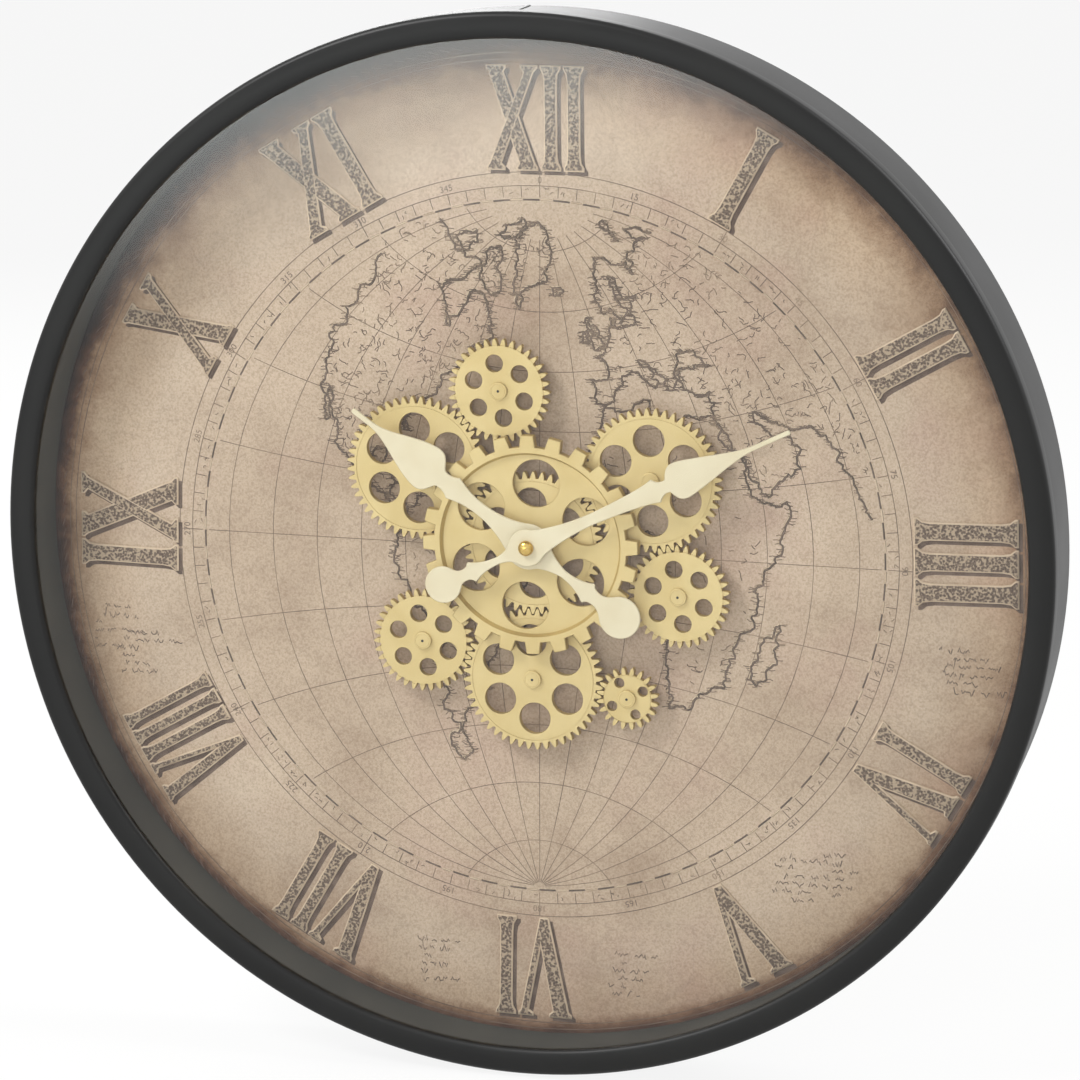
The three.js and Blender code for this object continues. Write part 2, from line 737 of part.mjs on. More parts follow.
function cell(name) {
  const start = -(cellLength + cellNubLength) / 2;
  const profile = [
    [0, start],
    [cellRadius - cellEdge, start],
    [cellRadius, start + cellEdge],
    [cellRadius, start + cellLength - cellEdge],
    [cellRadius - cellEdge, start + cellLength],
    [cellNubRadius, start + cellLength],
    [cellNubRadius, start + cellLength + cellNubLength],
    [0, start + cellLength + cellNubLength],
  ];
  const mesh = piece(name, turned(profile, turnSides), cellSleeve);
  mesh.rotation.z = Math.PI / 2;
  mesh.position.set(0, -cellDepth, -cellDrop);
  return mesh;
}

function settingKnob() {
  const rim = Array.from({ length: 2 * knobFlutes }, (_, i) =>
    polar(i % 2 ? knobRadius - fluteDepth : knobRadius, (180 * i) / knobFlutes));
  const front = housingRear - fit;
  const grip = plate(new THREE.Shape(rim), front - knobHeight, front);
  const stem = cylinder(knobStem, front - knobHeight / 2, housingRear + knobStemLength, pinSides);
  return piece("setting_knob", grip.add(stem), blackPlastic);
}

function handMovement() {
  const group = new THREE.Group();
  const knobHoleEnd = housingRear + knobStemLength + fit;
  const knobHole = cylinder(knobStem + fit, housingRear - fit, knobHoleEnd, pinSides);
  const bushSeat = cylinder(bushFlangeRadius + fit, bushFlangeRear - fit, housingFront + fit);
  const knobPlace = { x: knobAt.x, y: knobAt.z };
  const shell = housing(movementSize, bushBore + fit).subtract(bushSeat);
  const body = shell.subtract(moved(knobHole, knobPlace));
  group.add(piece("movement_case", body, blackPlastic), cell("movement_cell"));
  group.add(at(settingKnob(), knobPlace));
  return group;
}

function driveArbor() {
  const shoulder = gearRear - fit;
  return piece("drive_arbor", turned([
    [0, pocketFloor + fit],
    [driveShaftRadius, pocketFloor + fit],
    [driveShaftRadius, shoulder],
    [pinRadius, shoulder],
    [pinRadius, pinEnd],
    [0, pinEnd],
  ], pinSides), zincSteel);
}

// The switch rests at the left end of its slot, seen from the front.
function driveSwitch() {
  const center = new THREE.Vector2(-switchTravel / 2, switchRise);
  const sliderShape = rectangle(switchLength, switchWidth, center);
  const slider = plate(sliderShape, housingRear, housingRear + switchDepth);
  const lugShape = rectangle(switchLugLength, switchWidth, center);
  const lug = plate(lugShape, housingRear - switchLugHeight, housingRear + fit);
  return piece("drive_switch", slider.add(lug), zincSteel);
}

function gearDrive() {
  const group = new THREE.Group();
  const slotLength = switchLength + switchTravel + 2 * fit;
  const slotCenter = new THREE.Vector2(0, switchRise);
  const slotShape = rectangle(slotLength, switchWidth + 2 * fit, slotCenter);
  const slot = plate(slotShape, housingRear - fit, housingRear + switchDepth + fit);
  group.add(piece("drive_case", housing(driveSize, driveShaftRadius + fit).subtract(slot), blackPlastic));
  group.add(cell("drive_cell"), driveSwitch(), driveArbor());
  return at(group, lowerGear.center);
}

const clock = new THREE.Group();
clock.add(clockCase(), gearTrain(), handStack(), handMovement(), gearDrive());

export default clock;
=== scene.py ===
import bpy
import json
import math
import random
from mathutils import Matrix, Vector
from types import SimpleNamespace

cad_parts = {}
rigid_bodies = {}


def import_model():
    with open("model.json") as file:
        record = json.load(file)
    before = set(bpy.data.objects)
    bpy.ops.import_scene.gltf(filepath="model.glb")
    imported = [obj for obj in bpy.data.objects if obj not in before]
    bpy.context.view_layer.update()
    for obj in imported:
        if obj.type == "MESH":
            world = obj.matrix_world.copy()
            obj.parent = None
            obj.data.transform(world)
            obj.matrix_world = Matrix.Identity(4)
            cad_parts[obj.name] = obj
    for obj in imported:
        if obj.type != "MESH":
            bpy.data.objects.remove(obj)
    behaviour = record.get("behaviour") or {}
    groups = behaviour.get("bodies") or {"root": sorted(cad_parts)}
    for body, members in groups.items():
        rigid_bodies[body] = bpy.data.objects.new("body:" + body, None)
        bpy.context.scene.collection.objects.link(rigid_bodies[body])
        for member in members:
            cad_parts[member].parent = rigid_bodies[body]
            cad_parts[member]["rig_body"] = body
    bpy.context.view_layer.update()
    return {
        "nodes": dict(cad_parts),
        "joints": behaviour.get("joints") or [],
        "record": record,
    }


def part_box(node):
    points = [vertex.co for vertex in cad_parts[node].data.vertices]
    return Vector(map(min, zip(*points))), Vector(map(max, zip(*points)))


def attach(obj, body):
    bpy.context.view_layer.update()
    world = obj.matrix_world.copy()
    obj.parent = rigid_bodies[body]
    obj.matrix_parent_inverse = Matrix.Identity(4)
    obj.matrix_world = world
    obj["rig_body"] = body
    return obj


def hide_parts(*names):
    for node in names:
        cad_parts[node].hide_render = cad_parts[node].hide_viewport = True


# A round wall clock: black case, printed chart dial, gear train and cream hands.
# Sizes are in mm and depths run forward from the wall, which is the plane y = 0.
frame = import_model()
mm = 0.001
toolPast = 1  # how far a cutting tool runs past the face it enters


def linear(hexColor):
    channels = [int(hexColor[i:i + 2], 16) / 255 for i in (1, 3, 5)]
    return [c / 12.92 if c <= 0.04045 else ((c + 0.055) / 1.055) ** 2.4 for c in channels] + [1]


def perMetre(size):
    return 1 / (size * mm)  # texture scale for a feature of that many mm


# A link's source is a socket, or a node whose first output is meant.
def linkNode(node, links):
    for key, source in links.items():
        socket = source if isinstance(source, bpy.types.NodeSocket) else source.outputs[0]
        node.id_data.links.new(socket, node.inputs[key])


def addNode(tree, kind, settings=None, links=None):
    node = tree.nodes.new("ShaderNode" + kind)
    for key, value in (settings or {}).items():
        if key == "ramp":
            stops = node.color_ramp.elements
            while len(stops) < len(value):
                stops.new(0.5)
            for stop, (place, hexColor) in zip(stops, value):
                stop.position = place
                stop.color = linear(hexColor)
        elif isinstance(key, int) or key in node.inputs:
            node.inputs[key].default_value = value
        else:
            setattr(node, key, value)
    linkNode(node, links or {})
    return node


shaderInputs = {"metallic": "Metallic", "roughness": "Roughness", "ior": "IOR"}


def newFinish(look):
    finish = bpy.data.materials.new(look["name"])
    finish.use_nodes = True
    tree = finish.node_tree
    shader = tree.nodes["Principled BSDF"]
    for key, socket in shaderInputs.items():
        if key in look:
            shader.inputs[socket].default_value = look[key]
    return finish, tree, shader, addNode(tree, "TexCoord").outputs["Object"]


def pick(piece):
    bpy.ops.object.select_all(action="DESELECT")
    piece.select_set(True)
    bpy.context.view_layer.objects.active = piece


def joinPieces(pieces, name):
    pick(pieces[0])
    for piece in pieces[1:]:
        piece.select_set(True)
    if len(pieces) > 1:
        bpy.ops.object.join()
    bpy.context.object.name = name
    return bpy.context.object


def startEdit():
    bpy.ops.object.mode_set(mode="EDIT")
    bpy.ops.mesh.select_all(action="SELECT")


def endEdit():
    bpy.ops.mesh.select_all(action="SELECT")
    bpy.ops.mesh.normals_make_consistent(inside=False)
    bpy.ops.object.mode_set(mode="OBJECT")


# Raises the chosen faces towards the front, and narrows them by the edge over a last rise.
def raiseFaces(height, edge=0, rise=0):
    bpy.ops.mesh.extrude_region_move(TRANSFORM_OT_translate={"value": (0, -height * mm, 0)})
    if edge:
        bpy.ops.mesh.inset(thickness=edge * mm, depth=0)
        bpy.ops.transform.translate(value=(0, -rise * mm, 0))


def addLoop(name, points, fill):
    bpy.ops.object.select_all(action="DESELECT")
    bpy.ops.mesh.primitive_circle_add(vertices=len(points), radius=mm, fill_type=fill)
    piece = bpy.context.object
    piece.name = name
    for vertex, point in zip(piece.data.vertices, points):
        vertex.co = [value * mm for value in point]
    return piece


# A turned piece: a closed profile of (radius, depth) corners, spun round the hand axis.
def turnPiece(name, profile, steps):
    piece = addLoop(name, [(radius, -depth, 0) for radius, depth in profile], "NOTHING")
    startEdit()
    bpy.ops.mesh.spin(steps=steps, angle=2 * math.pi, center=(0, 0, 0), axis=(0, 1, 0))
    bpy.ops.mesh.select_all(action="SELECT")
    bpy.ops.mesh.remove_doubles(threshold=1e-6)
    bpy.ops.mesh.delete_loose()
    endEdit()
    return piece


# A flat piece from an outline of (x, z) points, with its front edge chamfered.
def cutPlate(name, outline, rear, front, edge):
    piece = addLoop(name, [(x, -rear, z) for x, z in outline], "NGON")
    startEdit()
    raiseFaces(front - edge - rear, edge, edge)
    endEdit()
    return piece


def movePiece(piece, center):
    piece.data.transform(Matrix.Translation((center[0] * mm, 0, center[1] * mm)))


# A drill whose cone leaves the hole's front edge chamfered.
def makeDrill(radius, center, rear, front, flare, sides):
    lip = front + flare
    profile = [(0, rear), (radius, rear), (radius, front - flare), (radius + 2 * flare, lip), (0, lip)]
    drill = turnPiece("drill", profile, sides)
    movePiece(drill, center)
    return drill


def carve(piece, tools):
    tool = joinPieces(tools, "tool")
    pick(piece)
    cut = piece.modifiers.new("cut", "BOOLEAN")
    cut.operation = "DIFFERENCE"
    cut.solver = "EXACT"
    cut.object = tool
    bpy.ops.object.modifier_apply(modifier="cut")
    bpy.data.objects.remove(tool)


def copyPiece(piece, name):
    pick(piece)
    bpy.ops.object.duplicate(linked=False)
    copy = bpy.context.object
    copy.name = name
    return copy


# Gives a piece its finishes, shading, body and the CAD nodes it stands for.
def fitPiece(piece, body, looks, nodes=(), angle=35, choose=None):
    pick(piece)
    bpy.ops.object.shade_smooth_by_angle(angle=math.radians(angle))
    piece.data.materials.clear()
    for look in looks:
        piece.data.materials.append(finishes[look])
    for face in piece.data.polygons:
        face.material_index = choose(face) if choose else 0
    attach(piece, body)
    if nodes:
        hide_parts(*nodes)
    return piece


def around(radius, degrees):
    return radius * math.cos(math.radians(degrees)), radius * math.sin(math.radians(degrees))


def arcPoints(center, radius, start, end, steps):
    turns = [start + (end - start) * i / steps for i in range(steps + 1)]
    return [(center[0] + around(radius, turn)[0], center[1] + around(radius, turn)[1]) for turn in turns]


# Camera first: a little above and to the right of the dial, from about 3 m.
camera = {"azimuth": 15.71, "elevation": 12.21, "distance": 3.0, "lens": 181.25, "sensor": 36, "front": 66,
          "right": 12.3, "up": 8.0}
azimuth, elevation = math.radians(camera["azimuth"]), math.radians(camera["elevation"])
back = Vector((math.sin(azimuth) * math.cos(elevation), -math.cos(azimuth) * math.cos(elevation), math.sin(elevation)))
facing = (-back).to_track_quat("-Z", "Y")
aim = Vector((0, -camera["front"] * mm, 0))
aim += facing @ Vector((camera["right"] * mm, camera["up"] * mm, 0))
bpy.ops.object.camera_add(location=aim + back * camera["distance"], rotation=facing.to_euler())
cameraObject = bpy.context.object
cameraObject.data.lens = camera["lens"]
cameraObject.data.sensor_width = camera["sensor"]
bpy.context.scene.camera = cameraObject
bpy.context.scene.view_settings.view_transform = "Standard"
print("camera placed")


# Coats with a clouded colour. Sizes are those of the cloud and of the surface grain; shine is a range of roughness.
coats = {
    # Stove enamel on rolled steel: near black, satin, with the faint ripple that baking leaves
    "enamel": {"name": "stoveEnamelBlack", "roughness": 0.42, "ior": 1.38, "cloud": 60, "detail": 4,
               "ramp": [(0.3, "#0b0b0b"), (0.72, "#131312")], "shine": (0.36, 0.5), "grain": 1.4, "relief": 0.12},
    # Painted card lining inside the case: dull grey with a green cast
    "lining": {"name": "paintedCardLining", "roughness": 0.75, "ior": 1.45, "cloud": 45, "detail": 5,
               "ramp": [(0.3, "#2e2f2b"), (0.75, "#454540")]},
    # Printing inks on the paper: worn, so a paler tone comes through in patches
    "ink": {"name": "printedInkDark", "roughness": 0.85, "ior": 1.42, "cloud": 14, "detail": 4,
            "ramp": [(0.42, "#63574f"), (0.68, "#85756a")]},
    "fineInk": {"name": "printedInkFine", "roughness": 0.85, "ior": 1.42, "cloud": 20, "detail": 4,
                "ramp": [(0.42, "#6e5f55"), (0.68, "#988572")]},
    # The shade coat is ink on the rope marks, and a painted drop shadow under the numerals
    "shade": {"name": "inkAndPaintedShadow", "roughness": 0.85, "ior": 1.42, "cloud": 9, "detail": 4,
              "ramp": [(0.42, "#5c4c43"), (0.68, "#77665c")]},
    # The pale coat is print on the numeral bevels and scale dashes, and a painted highlight beside the shores
    "relief": {"name": "paleInkAndPaintedHighlight", "roughness": 0.85, "ior": 1.42, "cloud": 16, "detail": 4,
               "ramp": [(0.42, "#d3c0a8"), (0.68, "#bfaa93")]},
    # Sprayed champagne gold on moulded gears: soft sheen, a little cloudy, finely grained; the side walls take a darker
    # copy, in part painted shade
    "gold": {"name": "champagneGoldSpray", "metallic": 0.25, "roughness": 0.45, "ior": 1.45, "cloud": 24, "detail": 5,
             "ramp": [(0.3, "#d1bb82"), (0.7, "#ddc993")], "grain": 0.7, "relief": 0.08},
    "goldSideShaded": {"name": "champagneGoldSideShaded", "metallic": 0.25, "roughness": 0.5, "ior": 1.45, "cloud": 24, "detail": 5,
                 "ramp": [(0.3, "#b0975a"), (0.7, "#c6ad6e")], "grain": 0.7, "relief": 0.08},
    # Cream lacquer on stamped hands: smooth, low gloss, warmer in the hollows of the spray
    "cream": {"name": "creamLacquer", "roughness": 0.4, "ior": 1.48, "cloud": 18, "detail": 3,
              "ramp": [(0.3, "#ddd2b3"), (0.7, "#e5dcc0")]},
    # Moulded ABS for the housings behind the dial: black, with the mould's fine spark texture
    "abs": {"name": "mouldedAbsBlack", "roughness": 0.55, "ior": 1.53, "cloud": 30, "detail": 3,
            "ramp": [(0.3, "#151516"), (0.7, "#222224")], "grain": 0.8, "relief": 0.25},
}
grainDepth = 0.1


def makeCoat(coat):
    finish, tree, shader, place = newFinish(coat)
    cloud = addNode(tree, "TexNoise", {"Scale": perMetre(coat["cloud"]), "Detail": coat["detail"]}, {"Vector": place})
    links = {"Base Color": addNode(tree, "ValToRGB", {"ramp": coat["ramp"]}, {"Fac": cloud})}
    if "shine" in coat:
        low, high = coat["shine"]
        links["Roughness"] = addNode(tree, "MapRange", {"To Min": low, "To Max": high}, {"Value": cloud})
    if "grain" in coat:
        grain = addNode(tree, "TexNoise", {"Scale": perMetre(coat["grain"]), "Detail": 2}, {"Vector": place})
        bump = {"Strength": coat["relief"], "Distance": grainDepth * mm}
        links["Normal"] = addNode(tree, "Bump", bump, {"Height": grain})
    linkNode(shader, links)
    return finish


# Float glass: clear, with only the mirror of the faces that light enters to show it is there.
glass = {"name": "floatGlass", "ior": 1.5, "tint": "#fcfcfb", "roughness": 0.02}


def makeGlass():
    finish, tree, shader, _ = newFinish(glass)
    tree.nodes.remove(shader)
    fresnel = addNode(tree, "Fresnel", {"IOR": glass["ior"]})
    leaving = addNode(tree, "NewGeometry").outputs["Backfacing"]
    entering = addNode(tree, "Math", {"operation": "SUBTRACT", 0: 1.0}, {1: leaving})
    share = addNode(tree, "Math", {"operation": "MULTIPLY"}, {0: fresnel, 1: entering})
    clear = addNode(tree, "BsdfTransparent", {"Color": linear(glass["tint"])})
    mirror = addNode(tree, "BsdfGlossy", {"Roughness": glass["roughness"], "Color": linear("#ffffff")})
    both = addNode(tree, "MixShader", {}, {0: share, 1: clear, 2: mirror})
    linkNode(tree.nodes["Material Output"], {"Surface": both})
    return finish


# Aged paper print: sepia clouds, a pink cast in places, fine fibre, thin cracks, brown spots and a scorched rim.
# The rim's darkening is centred below the dial's middle, so the top rim is darker: that part is painted shade from the
# bezel.
# The scorch and the painted shade at the foot of the wall darken by the share of the edge's radius, the scorch about
# its own middle in m.
paper = {
    "name": "agedPaperPrint", "roughness": 0.82, "ior": 1.42,
    "cloudSize": 95, "sepia": [(0.3, "#ae9985"), (0.47, "#c4b19d"), (0.6, "#cdbaa6"), (0.75, "#d9c8b4")],
    "pinkSize": 60, "pinkSeed": 3, "pink": "#bb9e90", "pinkFrom": 0.5, "pinkFull": 0.72, "pinkMost": 0.55,
    # middle lies 14 mm low, so the top rim takes painted shade from the bezel on top of the scorch
    "edge": 291, "middle": (-0.001, 0, -0.014), "scorchSize": 16, "scorchSway": 0.026,
    "rimScorchAndShade": [(0.0, "#ffffff"), (0.6, "#fdfcfb"), (0.8, "#ffffff"), (0.905, "#f7efe5"), (0.947, "#cdbba9"),
               (0.974, "#8b7363"), (1.0, "#543e35")],
    # A narrow dark ring at the paper's edge: partly a dark print edge, partly painted shade where the wall stands on
    # the paper
    "wallFootShadeSway": 0.4, "wallFootShade": [(0.95, "#ffffff"), (0.968, "#c4b0a3"), (0.985, "#75594c")],
    "fibreSize": 1.1, "fleck": [(0.34, "#c8beb3"), (0.58, "#ffffff")], "fleckShare": 0.5, "fibreRelief": 0.1,
    "crackSize": 42, "crack": "#7d6a5c", "crackWidth": 0.012, "crackMost": 0.22,
    "spotSize": 7, "spot": "#8a705c", "spotFrom": 0.66, "spotFull": 0.74, "spotMost": 0.5,
}


def makePaper():
    finish, tree, shader, place = newFinish(paper)
    seen = {"Vector": place}
    tint = {"data_type": "RGBA"}
    multiply = {"data_type": "RGBA", "blend_type": "MULTIPLY"}
    clouds = {"Scale": perMetre(paper["cloudSize"]), "Detail": 7, "Roughness": 0.6}
    sepia = addNode(tree, "ValToRGB", {"ramp": paper["sepia"]}, {"Fac": addNode(tree, "TexNoise", clouds, seen)})
    pinkClouds = {"Scale": perMetre(paper["pinkSize"]), "Detail": 5, "noise_dimensions": "4D", "W": paper["pinkSeed"]}
    pink = addNode(tree, "TexNoise", pinkClouds, seen)
    pinkRange = {"From Min": paper["pinkFrom"], "From Max": paper["pinkFull"], "To Max": paper["pinkMost"]}
    pinkShare = addNode(tree, "MapRange", pinkRange, {"Value": pink})
    toned = addNode(tree, "Mix", tint | {7: linear(paper["pink"])}, {0: pinkShare, 6: sepia})
    flat = addNode(tree, "VectorMath", {"operation": "MULTIPLY", 1: (1, 0, 1)}, {0: place})
    centred = addNode(tree, "VectorMath", {"operation": "SUBTRACT", 1: paper["middle"]}, {0: flat})
    scorchClouds = {"Scale": perMetre(paper["scorchSize"]), "Detail": 6, "Roughness": 0.7}
    rimScorchAndShade = addNode(tree, "TexNoise", scorchClouds, seen)
    evenSway = {"operation": "MULTIPLY_ADD", 1: paper["scorchSway"], 2: -paper["scorchSway"] / 2}
    sway = addNode(tree, "Math", evenSway, {0: rimScorchAndShade})
    # First the scorch with its painted top shade, about the low middle; then painted shade at the foot of the wall,
    # about the paper's own middle
    for vector, swayShare, ramp in ((centred, 1.0, paper["rimScorchAndShade"]), (flat, paper["wallFootShadeSway"], paper["wallFootShade"])):
        reach = addNode(tree, "VectorMath", {"operation": "LENGTH"}, {0: vector}).outputs["Value"]
        radius = addNode(tree, "Math", {"operation": "MULTIPLY_ADD", 1: swayShare}, {0: sway, 2: reach})
        share = addNode(tree, "Math", {"operation": "DIVIDE", 1: paper["edge"] * mm}, {0: radius})
        rim = addNode(tree, "ValToRGB", {"ramp": ramp}, {"Fac": share})
        toned = addNode(tree, "Mix", multiply | {0: 1.0}, {6: toned.outputs[2], 7: rim})
    fibre = addNode(tree, "TexNoise", {"Scale": perMetre(paper["fibreSize"]), "Detail": 3}, seen)
    fleck = addNode(tree, "ValToRGB", {"ramp": paper["fleck"]}, {"Fac": fibre})
    grained = addNode(tree, "Mix", multiply | {0: paper["fleckShare"]}, {6: toned.outputs[2], 7: fleck})
    cells = {"feature": "DISTANCE_TO_EDGE", "Scale": perMetre(paper["crackSize"])}
    crack = addNode(tree, "TexVoronoi", cells, seen)
    crackRange = {"From Max": paper["crackWidth"], "To Min": paper["crackMost"], "To Max": 0.0}
    thin = addNode(tree, "MapRange", crackRange, {"Value": crack})
    patchy = addNode(tree, "Math", {"operation": "MULTIPLY"}, {0: thin, 1: pink})
    cracked = addNode(tree, "Mix", tint | {7: linear(paper["crack"])}, {0: patchy, 6: grained.outputs[2]})
    spots = addNode(tree, "TexNoise", {"Scale": perMetre(paper["spotSize"]), "Detail": 4, "Roughness": 0.7}, seen)
    spotRange = {"From Min": paper["spotFrom"], "From Max": paper["spotFull"], "To Max": paper["spotMost"]}
    spotShare = addNode(tree, "MapRange", spotRange, {"Value": spots})
    foxed = addNode(tree, "Mix", tint | {7: linear(paper["spot"])}, {0: spotShare, 6: cracked.outputs[2]})
    bump = addNode(tree, "Bump", {"Strength": paper["fibreRelief"], "Distance": grainDepth * mm}, {"Height": fibre})
    linkNode(shader, {"Base Color": foxed.outputs[2], "Normal": bump})
    return finish


# Hammered numerals: dark pits with pale worn ridges, like a beaten cast plate.
hammer = {"name": "hammeredCasting", "roughness": 0.75, "ior": 1.3, "pitSize": 1.45, "smooth": 0.35, "twistSize": 0.9,
          "pitShare": 0.75, "relief": 0.6, "depth": 0.6,
          "ramp": [(0.62, "#5f5047"), (0.88, "#746559"), (1.0, "#b2a08a")]}


def makeHammered():
    finish, tree, shader, place = newFinish(hammer)
    cells = {"Scale": perMetre(hammer["pitSize"]), "feature": "SMOOTH_F1", "Smoothness": hammer["smooth"]}
    pits = addNode(tree, "TexVoronoi", cells, {"Vector": place})
    waves = {"Scale": perMetre(hammer["pitSize"] * hammer["twistSize"]), "Detail": 3}
    twist = addNode(tree, "TexNoise", waves, {"Vector": place})
    beaten = addNode(tree, "Math", {"operation": "MULTIPLY_ADD", 1: hammer["pitShare"]}, {0: pits, 2: twist})
    color = addNode(tree, "ValToRGB", {"ramp": hammer["ramp"]}, {"Fac": beaten})
    bump = addNode(tree, "Bump", {"Strength": hammer["relief"], "Distance": hammer["depth"] * mm}, {"Height": beaten})
    linkNode(shader, {"Base Color": color, "Normal": bump})
    return finish


# Turned metals: polished brass, and zinc plate with its soft crystal spangle.
metals = {
    "brass": {"name": "polishedBrass", "metallic": 1.0, "ramp": [(0.2, "#d0aa50"), (0.8, "#e2c274")], "size": 3,
              "shine": (0.2, 0.28)},
    "zinc": {"name": "zincPlate", "metallic": 1.0, "ramp": [(0.2, "#9a9ca0"), (0.8, "#b9bbbd")], "size": 6,
             "shine": (0.3, 0.42)},
}


def makeMetal(metal):
    finish, tree, shader, place = newFinish(metal)
    spangle = addNode(tree, "TexVoronoi", {"Scale": perMetre(metal["size"])}, {"Vector": place}).outputs["Color"]
    tone = addNode(tree, "ValToRGB", {"ramp": metal["ramp"]}, {"Fac": spangle})
    low, high = metal["shine"]
    shine = addNode(tree, "MapRange", {"To Min": low, "To Max": high}, {"Value": spangle})
    linkNode(shader, {"Base Color": tone, "Roughness": shine})
    return finish


# Pressed hardboard: brown, fibrous and dull.
hardboard = {"name": "pressedHardboard", "roughness": 0.85, "ior": 1.45, "fibreSize": 9, "stretch": (1, 1, 5),
             "relief": 0.2, "depth": 0.2, "ramp": [(0.3, "#4a3526"), (0.55, "#6b4f39"), (0.75, "#846548")]}


def makeHardboard():
    finish, tree, shader, place = newFinish(hardboard)
    stretch = addNode(tree, "Mapping", {"Scale": hardboard["stretch"]}, {"Vector": place})
    strands = {"Scale": perMetre(hardboard["fibreSize"]), "Detail": 8, "Roughness": 0.7}
    fibre = addNode(tree, "TexNoise", strands, {"Vector": stretch})
    color = addNode(tree, "ValToRGB", {"ramp": hardboard["ramp"]}, {"Fac": fibre})
    relief = {"Strength": hardboard["relief"], "Distance": hardboard["depth"] * mm}
    linkNode(shader, {"Base Color": color, "Normal": addNode(tree, "Bump", relief, {"Height": fibre})})
    return finish


# Printed film round a dry cell: plain grey with a lighter band at the contact end.
film = {"name": "cellFilm", "roughness": 0.3, "ior": 1.5, "half": 25,
        "ramp": [(0.0, "#3b4046"), (0.63, "#3b4046"), (0.64, "#b08a52"), (1.0, "#b08a52")]}


def makeCellFilm():
    finish, tree, shader, place = newFinish(film)
    along = addNode(tree, "SeparateXYZ", {}, {"Vector": place}).outputs["X"]
    span = {"From Min": -film["half"] * mm, "From Max": film["half"] * mm}
    share = addNode(tree, "MapRange", span, {"Value": along})
    color = addNode(tree, "ValToRGB", {"ramp": film["ramp"]}, {"Fac": share})
    color.color_ramp.interpolation = "CONSTANT"
    linkNode(shader, {"Base Color": color})
    return finish


finishes = {key: makeCoat(coat) for key, coat in coats.items()}
finishes.update({key: makeMetal(metal) for key, metal in metals.items()})
finishes.update({"glass": makeGlass(), "paper": makePaper(), "hammered": makeHammered(), "board": makeHardboard(),
                 "cell": makeCellFilm()})
print("finishes made")


# Case: rolled band with its turned-in rim and weld, bezel, lining and glass
case = {"bandRadius": 296.2, "bandInner": 295, "bandFront": 53.7, "bandEdge": 0.4, "rimInner": 287, "rimFront": 1.2,
        "rimRound": 1.1, "steps": 256}
rimRound, bandEdge = case["rimRound"], case["bandEdge"]
bandProfile = [(case["rimInner"], 0)]
bandProfile += arcPoints((case["bandRadius"] - rimRound, rimRound), rimRound, -90, 0, 5)
bandProfile += [(case["bandRadius"], case["bandFront"] - bandEdge), (case["bandRadius"] - bandEdge, case["bandFront"]),
                (case["bandInner"], case["bandFront"]), (case["bandInner"], case["rimFront"]),
                (case["rimInner"], case["rimFront"])]
band = turnPiece("case_band_rolled", bandProfile, case["steps"])
fitPiece(band, "case", ["enamel"], ["case_band", "rear_rim"])

weld = {"angle": 92.2, "width": 2.2, "height": 0.5, "rear": 2.5, "front": 53, "round": 0.42}
bpy.ops.object.select_all(action="DESELECT")
bpy.ops.mesh.primitive_cube_add(size=1)
seam = bpy.context.object
seam.name = "case_band_weld"
seamSize = (weld["width"] * mm, (weld["front"] - weld["rear"]) * mm, 2 * weld["height"] * mm, 1)
seam.data.transform(Matrix.Diagonal(seamSize))
seamBevel = seam.modifiers.new("round", "BEVEL")
seamBevel.width = weld["round"] * mm
seamBevel.segments = 3
bpy.ops.object.modifier_apply(modifier="round")
seamPlace = Matrix.Translation((0, -(weld["front"] + weld["rear"]) / 2 * mm, case["bandRadius"] * mm))
seam.data.transform(Matrix.Rotation(math.radians(90 - weld["angle"]), 4, "Y") @ seamPlace)
fitPiece(seam, "case", ["enamel"])

bezel = {"radius": 300, "bore": 285, "front": 66, "rear": 54, "rearRound": 0.8, "outerRound": 3.4, "innerRound": 3.2,
         "lipRear": 62.3, "skirtOuter": 294.7, "skirtInner": 293.5, "skirtRear": 40, "crown": 0.35, "steps": 288}
rearRound, shoulder = bezel["rearRound"], bezel["front"] - bezel["crown"]
bezelProfile = [(bezel["skirtInner"], bezel["skirtRear"]), (bezel["skirtOuter"], bezel["skirtRear"]),
                (bezel["skirtOuter"], bezel["rear"])]
bezelProfile += arcPoints((bezel["radius"] - rearRound, bezel["rear"] + rearRound), rearRound, -90, 0, 3)
outerCenter = (bezel["radius"] - bezel["outerRound"], shoulder - bezel["outerRound"])
innerCenter = (bezel["bore"] + bezel["innerRound"], shoulder - bezel["innerRound"])
bezelProfile += arcPoints(outerCenter, bezel["outerRound"], 0, 80, 7)
bezelProfile += [((bezel["radius"] + bezel["bore"]) / 2, bezel["front"])]
bezelProfile += arcPoints(innerCenter, bezel["innerRound"], 100, 180, 7)
bezelProfile += [(bezel["bore"], bezel["lipRear"]), (bezel["skirtInner"], bezel["lipRear"])]
bezelRing = turnPiece("front_bezel_ring", bezelProfile, bezel["steps"])
fitPiece(bezelRing, "case", ["enamel"], ["front_bezel"], angle=30)

wall = {"inner": 287, "outer": 291, "rear": 25, "front": 58.7, "seal": 1.2, "sealLip": 0.5, "sealSlope": 0.4,
        "steps": 224}
sealInner, sealRear = wall["inner"] - wall["sealLip"], wall["front"] - wall["seal"]
wallProfile = [(wall["inner"], wall["rear"]), (wall["outer"], wall["rear"]), (wall["outer"], wall["front"]),
               (sealInner, wall["front"]), (sealInner, sealRear), (wall["inner"], sealRear - wall["sealSlope"])]
innerWall = turnPiece("spacer_wall", wallProfile, wall["steps"])
fitPiece(innerWall, "case", ["lining"], ["spacer_ring"])

